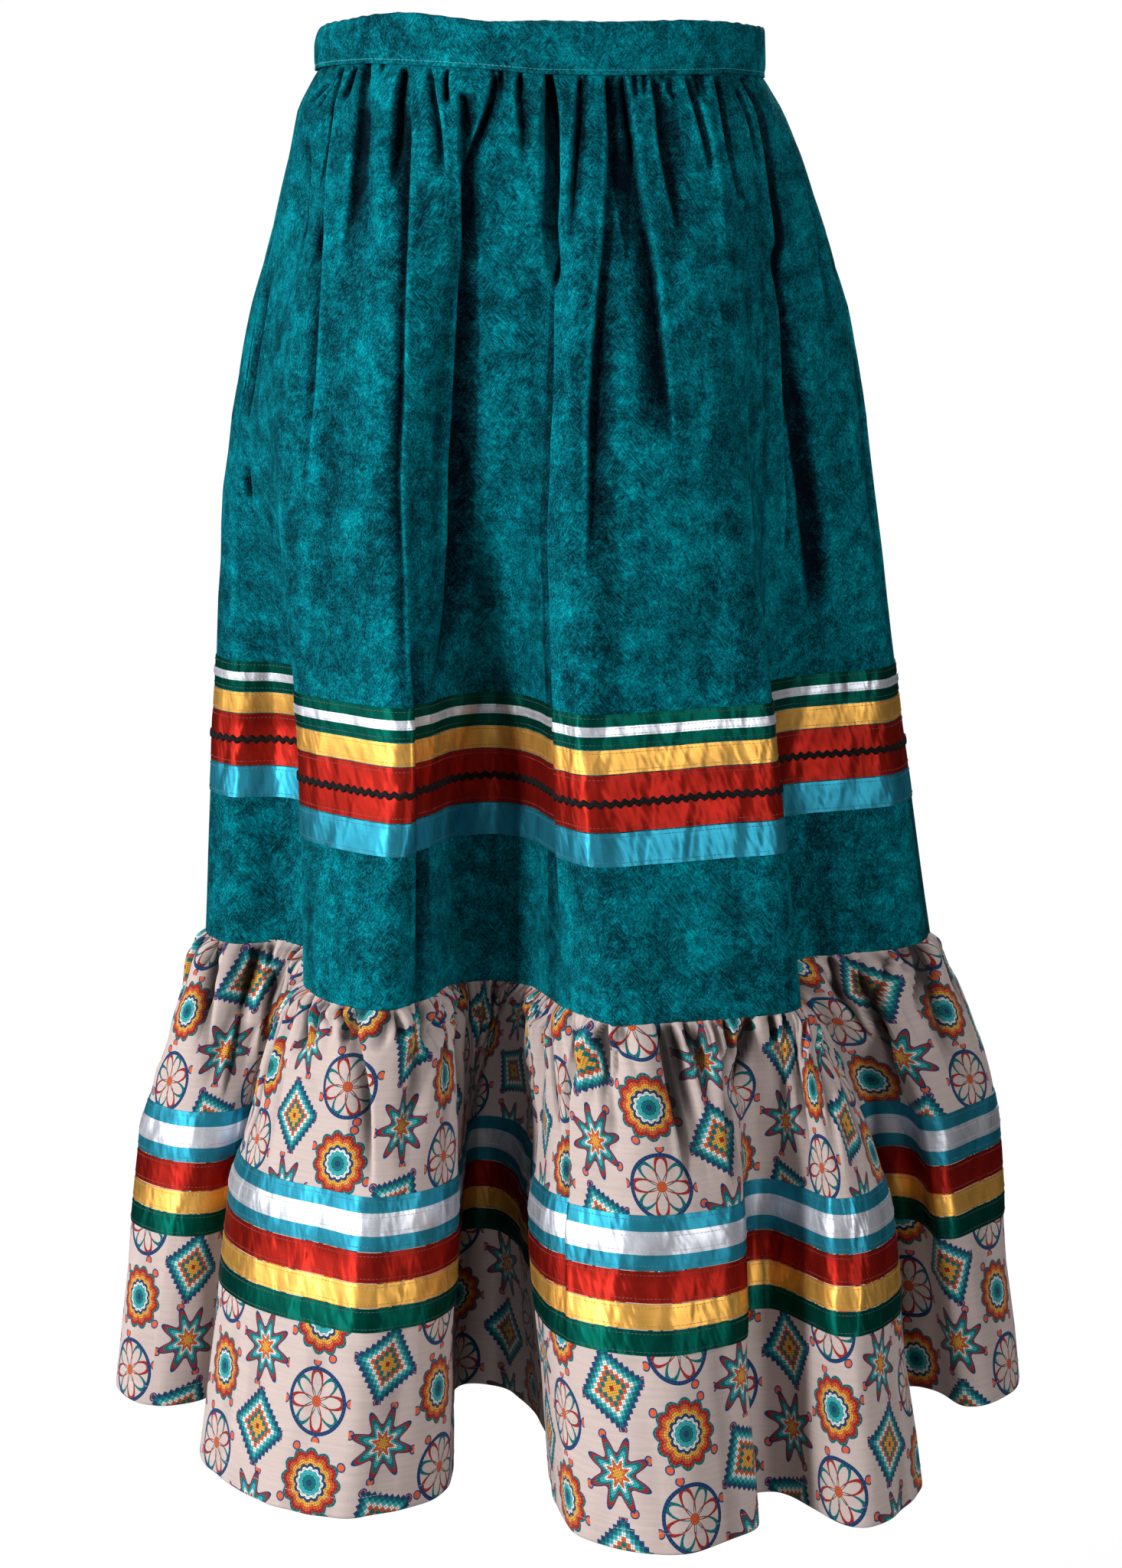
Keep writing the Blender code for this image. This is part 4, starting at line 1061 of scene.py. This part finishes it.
def ruffle_relief(drop):
    """How far the ruffle's cloth stands out from its smooth ring at one height."""
    below = max(drop - RUFFLE_TOP_DROP, 0)
    shares = ruffle_columns
    total = seam_pleats.relief(shares, below, 0.006) - 0.0012 * max(1 - below / 0.05, 0)
    total += min(below / 0.02, 1) * (open_pleats.relief(shares, below) - 0.0012 * max(1 - below / 0.11, 0))
    total += 0.0009 * ripples(shares, drop, 41, 12, (20, 70), (-2, 2)) * min(below / 0.04, 1)
    front = np.clip(1 - (np.abs(shares - 0.28) - 0.28) / 0.02, 0, 1)
    total += (1 - 0.55 * front) * crease_relief(RUFFLE_CREASES, shares * RUFFLE_CUT_WIDTH, drop, RUFFLE_CUT_WIDTH)
    # The read folds lie where the cloth faces the front.
    ring = ruffle_ring(drop)
    facing = np.clip(0.2 - 3 * ring_at(outward(ring), shares)[:, 1], 0, 1) * front
    total += facing * lap_relief(RUFFLE_LAPS, ring_at(ring, shares)[:, 0] / MM, drop)
    total += 0.003 * min(below / 0.008, 1) * max(1 - below / 0.08, 0)
    total += 0.0005 * ripples(shares, drop, 42, 10, (60, 130), (-4, 4)) * np.clip((drop - 0.87) / 0.06, 0, 1)
    return total


# How far the ruffle's sides hang out of its smooth ring or inside it, as for the tier.
RUFFLE_SIDES = [
    Side(648, 0, 0), Side(663, 3, 2), Side(689, 4, 3), Side(716, 3, 4), Side(743, 0, 4), Side(770, 0, 3),
    Side(797, 3, 2), Side(850, 3, 1), Side(877, 3, -1), Side(904, 2, -2), Side(957, 2, 0), Side(993, 2, 0),
]  # fmt: skip


def ruffle_row(drop, out=0.0, height=None):
    """The ruffle's points at one height, some way out from its surface, and the directions out there."""
    ring = ruffle_ring(min(drop, HEM_DROP))
    places, directions = cloth_row(ring, ruffle_columns, ruffle_relief(drop), RUFFLE_SIDES, drop, out)
    level = np.full(len(places), -(height or drop))
    return np.column_stack([places, level]), np.column_stack([directions, np.zeros(len(directions))])


def printed_cotton():
    """Blush cotton with a repeating print in bead-like dots: an eight-pointed star, a wheel, a stepped
    diamond and a rosette take turns in columns that are set half a step apart."""
    material, tree, shader = new_material("printed_cotton", 0.9)
    navy, teal, sky = (0.008, 0.05, 0.16), (0.0, 0.16, 0.17), (0.04, 0.40, 0.44)
    red, orange, gold = (0.36, 0.02, 0.015), (0.60, 0.10, 0.03), (0.72, 0.36, 0.05)
    ground, white = (0.505, 0.410, 0.382), (0.76, 0.73, 0.68)
    step_across, step_down = 0.052, 0.054
    unit = 0.00125  # The motifs are drawn in units of 1.25 mm.
    bead_turn = 2.45  # Radians for each unit: a bead every 1.6 mm.
    plus, minus, times, over = sums(tree)
    floored, unsigned, sine_of = (partial(calc, tree, operation) for operation in ("FLOOR", "ABSOLUTE", "SINE"))

    uv = add_node(tree, "UVMap", uv_map="cloth").outputs[0]
    axes = add_node(tree, "SeparateXYZ", [(0, uv)]).outputs
    across = over(axes[0], step_across)
    column = floored(across)
    odd = calc(tree, "MODULO", column, 2)
    down = plus(over(axes[1], step_down), times(odd, 0.5))
    line = floored(down)
    x = times(minus(calc(tree, "FRACT", across), 0.5), step_across / unit)
    y = times(minus(calc(tree, "FRACT", down), 0.5), step_down / unit)
    kind = calc(tree, "MODULO", plus(column, times(line, 2)), 4)
    kind = calc(tree, "MODULO", plus(kind, 4), 4)
    # Each motif is turned a little differently.
    cell = add_node(tree, "CombineXYZ", [(0, column), (1, line)]).outputs[0]
    luck = add_node(tree, "TexWhiteNoise", [("Vector", cell)], noise_dimensions="2D").outputs[0]
    turn = times(minus(luck, 0.5), 1.3)
    cosine, sine = calc(tree, "COSINE", turn), sine_of(turn)
    rx = minus(times(x, cosine), times(y, sine))
    ry = plus(times(x, sine), times(y, cosine))
    radius = calc(tree, "SQRT", plus(times(rx, rx), times(ry, ry)))
    angle = calc(tree, "ARCTAN2", ry, rx)

    def spokes(count, shift=0.0):
        """0 between spokes and 1 on each of them, round the motif."""
        wave = calc(tree, "COSINE", plus(times(angle, float(count)), shift))
        return calc(tree, "MULTIPLY_ADD", wave, 0.5, 0.5)

    def below(value, limit):
        """1 where the value is below the limit, and 0 elsewhere."""
        return calc(tree, "LESS_THAN", value, limit)

    def rows_of_beads(place, turn):
        """1 in the middle of each bead along a place, and 0 between them."""
        return unsigned(sine_of(times(place, turn)))

    # Seed-bead dots: rings of beads round a middle, and a straight grid of them.
    ring_beads = times(rows_of_beads(radius, bead_turn), rows_of_beads(angle, 26.0))
    grid_beads = times(rows_of_beads(rx, bead_turn), rows_of_beads(ry, bead_turn))

    def darkened(colour, shade):
        """The colour darkened by a shade from 0 to 1."""
        grey = add_node(tree, "CombineColor", [(0, shade), (1, shade), (2, shade)]).outputs[0]
        return mixed(tree, 1.0, colour, grey, "MULTIPLY")

    def beaded(colour, beads):
        """The colour, darker between the beads."""
        return darkened(colour, calc(tree, "MULTIPLY_ADD", calc(tree, "POWER", beads, 0.6), 0.95, 0.24, clamp=True))

    # The star: an eight-pointed outline, with rings of colour that follow its points.
    pointed = over(radius, calc(tree, "MULTIPLY_ADD", calc(tree, "POWER", spokes(8), 1.4), 9.5, 11.0))
    star = ramp(tree, pointed, [(0, gold), (0.2, orange), (0.36, white), (0.47, sky), (0.64, teal), (0.8, red),
                                (0.91, navy), (1, ground)], steps=True)  # fmt: skip
    star = beaded(star, grid_beads)
    in_star = below(pointed, 1.0)

    # The wheel: a rim with eight thin petals drawn in lines and a small hub.
    petal = unsigned(minus(over(radius, 17.0), spokes(4)))
    petal_too = unsigned(minus(over(radius, 17.0), spokes(4, math.pi)))
    rim = times(calc(tree, "GREATER_THAN", radius, 16.2), below(radius, 18.4))
    hub = below(radius, 3.0)
    lines = calc(tree, "MAXIMUM", below(petal, 0.1), below(petal_too, 0.1))
    lines = times(lines, below(radius, 16.6))
    wheel = mixed(tree, below(petal, 0.1), teal, red)
    wheel = mixed(tree, hub, wheel, orange)
    wheel = mixed(tree, rim, wheel, navy)
    in_wheel = calc(tree, "MAXIMUM", calc(tree, "MAXIMUM", rim, hub), lines)
    wheel = beaded(wheel, ring_beads)

    # The stepped diamond: squares of 2.6 units that climb to four corners.
    sx = unsigned(calc(tree, "SNAP", plus(rx, 1.3), 2.6))
    sy = unsigned(calc(tree, "SNAP", plus(ry, 1.3), 2.6))
    reach = over(plus(sx, sy), 24.5)
    diamond = ramp(tree, reach, [(0, red), (0.1, gold), (0.22, teal), (0.34, orange), (0.46, white), (0.58, sky),
                                 (0.7, teal), (0.82, navy), (0.94, red)], steps=True)  # fmt: skip
    diamond = beaded(diamond, grid_beads)
    in_diamond = below(reach, 0.95)

    # The rosette: rings of beads with a scalloped rim.
    scalloped = over(radius, calc(tree, "MULTIPLY_ADD", calc(tree, "SQRT", spokes(12)), 2.6, 16.2))
    rosette = ramp(tree, scalloped, [(0, navy), (0.1, teal), (0.24, sky), (0.38, white), (0.46, navy), (0.55, gold),
                                     (0.68, orange), (0.8, red), (0.92, teal)], steps=True)  # fmt: skip
    rosette = beaded(rosette, ring_beads)
    in_rosette = below(scalloped, 1.0)

    colour, inside = star, in_star
    for number, (other, in_other) in enumerate(((wheel, in_wheel), (diamond, in_diamond), (rosette, in_rosette)), 1):
        chosen = calc(tree, "COMPARE", kind, float(number), 0.1)
        colour = mixed(tree, chosen, colour, other)
        inside = plus(times(inside, minus(1, chosen)), times(in_other, chosen))
    # Four small leaves stand round every motif.
    from_ring = minus(radius, 20.8)
    leaf = plus(times(from_ring, from_ring), times(minus(1, spokes(4)), 95.0))
    leaf_rim = below(leaf, 6.5)
    leaf_colour = mixed(tree, below(leaf, 3.2), navy, orange)
    colour = mixed(tree, times(leaf_rim, minus(1, inside)), colour, leaf_colour)
    inside = calc(tree, "MAXIMUM", inside, leaf_rim)

    def yarns(way):
        inputs = [("Vector", cloth_place(tree)), ("Scale", 500.0)]
        return add_node(tree, "TexWave", inputs, bands_direction=way).outputs[0]

    slub = noise(tree, cloth_place(tree, 30, 400), 1.0, 2)
    faded = ramp(tree, slub, [(0.3, [c * 0.93 for c in ground]), (0.7, [c * 1.04 for c in ground])])
    # Painted shade: the colour is darkened in the pinched folds, where shade falls.
    lie = add_node(tree, "Attribute", attribute_name="lie").outputs["Fac"]
    shade = calc(tree, "MULTIPLY_ADD", calc(tree, "MINIMUM", lie, 0), 0.92, 1.0)
    tree.links.new(darkened(mixed(tree, inside, faded, colour), shade), shader.inputs["Base Color"])
    shader.inputs["Specular IOR Level"].default_value = 0.2
    shader.inputs["Sheen Weight"].default_value = 0.12
    crumple = noise(tree, cloth_place(tree, 60, 26), 1.0, 3)
    bumped(tree, shader, plus(times(plus(yarns("X"), yarns("Y")), 0.04), crumple), 0.5, 0.0018)
    return material


# The ribbons on the ruffle, top to bottom. Their edges lie on rows of its points.
LOWER_RIBBONS_DROP = 0.775
LOWER_RIBBONS = [
    Ribbon("lower_ribbon_turquoise", 0.038, None, "turquoise", 0.0030),
    Ribbon("lower_ribbon_white", 0.016, "lower_ribbon_turquoise", "white", 0.0030),
    Ribbon("lower_ribbon_red", 0.0205, None, "red", 0.0026),
    Ribbon("lower_ribbon_gold", 0.016, None, "gold", 0.0022),
    Ribbon("lower_ribbon_green", 0.016, None, "green", 0.0022),
]
lower_starts = ribbon_places(LOWER_RIBBONS, LOWER_RIBBONS_DROP)
lower_edges = ribbon_edges(LOWER_RIBBONS, lower_starts)
RUFFLE_EDGE_DROP = 0.6468
HEM_TURN_DROP = HEM_DROP - 0.0025
# The upper edge goes up inside the tier's, and the rows are closest below it.
ruffle_edges = [RUFFLE_EDGE_DROP, 0.69, *lower_edges, HEM_TURN_DROP]
ruffle_drops = row_drops(ruffle_edges, [0.0024] + [0.0044] * (len(ruffle_edges) - 2))
ruffle_rows = [ruffle_row(d, out=-0.0012 * max(1 - (d - RUFFLE_EDGE_DROP) / 0.006, 0)) for d in ruffle_drops]
# The hem turns in and up again: mm out from the ruffle, and mm below the waist's middle.
HEM_TURN = [(-0.1, 991.5), (-0.3, 992.6), (-0.8, 993.1), (-1.3, 992.6), (-1.6, 991), (-1.7, 987), (-1.7, 982),
            (-1.7, 978.5), (-0.4, 978.3)]  # fmt: skip
for out, height in HEM_TURN:
    ruffle_rows.append(ruffle_row(min(height * MM, HEM_DROP), out * MM, height * MM))
ruffle_grid = np.stack([points for points, _ in ruffle_rows])
# The painted shade in the ruffle's pinched folds, row by row.
ruffle_painted_shading = np.stack([painted_shading_of(ruffle_relief(d), 9, 0.0068) for d in [*ruffle_drops, *[HEM_DROP] * len(HEM_TURN)]])
hem_down = HEM_TURN_DROP + length_along(np.array([(0, 990.5), *HEM_TURN], float))[1:] * MM
ruffle_down = np.append(ruffle_drops, hem_down)
cotton = printed_cotton()
for name, columns, node in (
    ("ruffle_front_cloth", slice(0, RUFFLE_FRONT_COLUMNS + 1), "ruffle_front"),
    ("ruffle_back_cloth", slice(RUFFLE_FRONT_COLUMNS, None), "ruffle_back"),
):
    along = ruffle_columns[columns] * RUFFLE_CUT_WIDTH
    cloth = cloth_mesh(name, ruffle_grid[:, columns], along, -ruffle_down, cotton, lie=ruffle_painted_shading[:, columns])
    fix(cloth, "printed_cotton", node)

HEM_THREAD = (0.56, 0.46, 0.42)
HEM_STITCHES_DROP = HEM_DROP - 0.0135
line, directions = ruffle_row(HEM_STITCHES_DROP, 0.0002)
cream_thread = thread("cream_thread", HEM_THREAD)
hem_stitches = stitch_row("hem_stitches", line, directions, cream_thread, wide=0.0004, proud=0.0001)
fix(hem_stitches, "printed_cotton")


# The ribbons on the ruffle. Five more satin ribbons, sewn on flat in the same way before the ruffle was
# gathered. They stiffen the cloth, so that its lobes stay round there. The white one lies on the
# middle of the wide turquoise one.

sew_ribbons(LOWER_RIBBONS, lower_starts, ruffle_row, ruffle_drops, ruffle_columns, RUFFLE_CUT_WIDTH)


# The studio: a plain pale floor well below the hem that runs out into a white backdrop all round, tall soft
# boxes at the front left, the left, the front and the front right, one above the back, and a camera at waist
# height that looks a little down.

FLOOR_DROP = 1.30
ROOM = 24.0
SKY_LIGHT = 0.06
CAMERA_PLACE = (0.016, -2.55, 0)
CAMERA_DOWN = 11.57  # degrees
PHOTO_HEIGHT = 2048
CAMERA_REACH = 4700  # how far the picture lies behind the lens, in the photo's pixels
SENSOR = 36  # mm


def stage_piece(name, mesh, material):
    """A piece of the studio. It shows, and takes shadows, but throws no light on the skirt."""
    made = place_piece(name, mesh, material)
    made.visible_diffuse = made.visible_glossy = made.visible_shadow = made.visible_transmission = False
    return made


def white_glow(tree):
    """The white of the backdrop, which shines by itself."""
    return add_node(tree, "Emission", [("Color", (1, 1, 1, 1)), ("Strength", 1.0)]).outputs[0]


def floor():
    """White near the skirt, where its soft shadow falls, and as bright as the backdrop further off."""
    mesh = bpy.data.meshes.new("studio_floor")
    corners = [(-ROOM, -ROOM, 0), (ROOM, -ROOM, 0), (ROOM, ROOM, 0), (-ROOM, ROOM, 0)]
    mesh.from_pydata(corners, [], [(0, 1, 2, 3)])
    material, tree, shader = new_material("pale_floor", 0.9)
    shader.inputs["Base Color"].default_value = (0.93, 0.93, 0.93, 1)
    place = add_node(tree, "NewGeometry").outputs["Position"]
    level = add_node(tree, "VectorMath", [(0, place), (1, (1, 1, 0))], operation="MULTIPLY").outputs[0]
    far = add_node(tree, "VectorMath", [(0, level)], operation="LENGTH").outputs["Value"]
    white_from = [(0, far), (1, 0.5), (2, 2.0), (3, 0.85), (4, 1.0)]
    share = add_node(tree, "MapRange", white_from, interpolation_type="SMOOTHSTEP").outputs[0]
    both = add_node(tree, "MixShader", [(0, share), (1, shader.outputs[0]), (2, white_glow(tree))])
    tree.links.new(both.outputs[0], tree.nodes["Material Output"].inputs["Surface"])
    stage_piece("studio_floor", mesh, material).location.z = -FLOOR_DROP


def backdrop():
    """A white dome round the whole studio."""
    mesh = bpy.data.meshes.new("studio_backdrop")
    points, faces, across, up = [], [], 32, 16
    for i in range(up + 1):
        height, wide = math.sin(math.pi * (i / up - 0.5)), math.cos(math.pi * (i / up - 0.5))
        for j in range(across):
            turn = 2 * math.pi * j / across
            points.append((ROOM * wide * math.cos(turn), ROOM * wide * math.sin(turn), ROOM * height))
    for i in range(up):
        for j in range(across):
            k = (j + 1) % across
            faces.append((i * across + j, (i + 1) * across + j, (i + 1) * across + k, i * across + k))
    mesh.from_pydata(points, [], faces)
    material, tree, _ = new_material("white_backdrop", 1.0)
    tree.links.new(white_glow(tree), tree.nodes["Material Output"].inputs["Surface"])
    stage_piece("studio_backdrop", mesh, material)


def soft_light(name, place, target, wide, high, watts):
    """A soft box that is turned to the skirt."""
    light = bpy.data.lights.new(name, "AREA")
    light.shape = "RECTANGLE"
    light.energy, light.size, light.size_y = watts, wide, high
    made = bpy.data.objects.new(name, light)
    made.location = place
    aim = np.array(target) - np.array(place)
    flat = math.hypot(aim[0], aim[1])
    made.rotation_euler = (math.atan2(flat, -aim[2]), 0, math.atan2(-aim[0], aim[1]))
    bpy.context.scene.collection.objects.link(made)


floor()
backdrop()
soft_light("key_light", (-2.65, -2.05, 0.15), (0, 0, -0.55), 0.5, 1.5, 128)
soft_light("fill_light", (2.4, -2.4, 0.15), (0, 0, -0.55), 0.5, 1.5, 50)
soft_light("front_light", (-0.3, -3.3, 0.6), (0, 0, -0.6), 0.4, 1.2, 15)
soft_light("side_light", (-3.0, -0.3, 0.2), (0, 0, -0.4), 0.6, 1.6, 42)
soft_light("back_light", (0.4, 2.6, 1.6), (0, 0, -0.5), 1.6, 1.6, 115)

world = bpy.data.worlds.new("studio")
bpy.context.scene.world = world
world.use_nodes = True
world.node_tree.nodes["Background"].inputs["Color"].default_value = (1, 1, 1, 1)
world.node_tree.nodes["Background"].inputs["Strength"].default_value = SKY_LIGHT

lens = bpy.data.cameras.new("camera")
lens.lens, lens.sensor_width = SENSOR * CAMERA_REACH / PHOTO_HEIGHT, SENSOR
camera = bpy.data.objects.new("camera", lens)
camera.location = CAMERA_PLACE
camera.rotation_euler = (math.radians(90 - CAMERA_DOWN), 0, 0)
bpy.context.scene.collection.objects.link(camera)
bpy.context.scene.camera = camera
bpy.context.scene.view_settings.view_transform = "Standard"
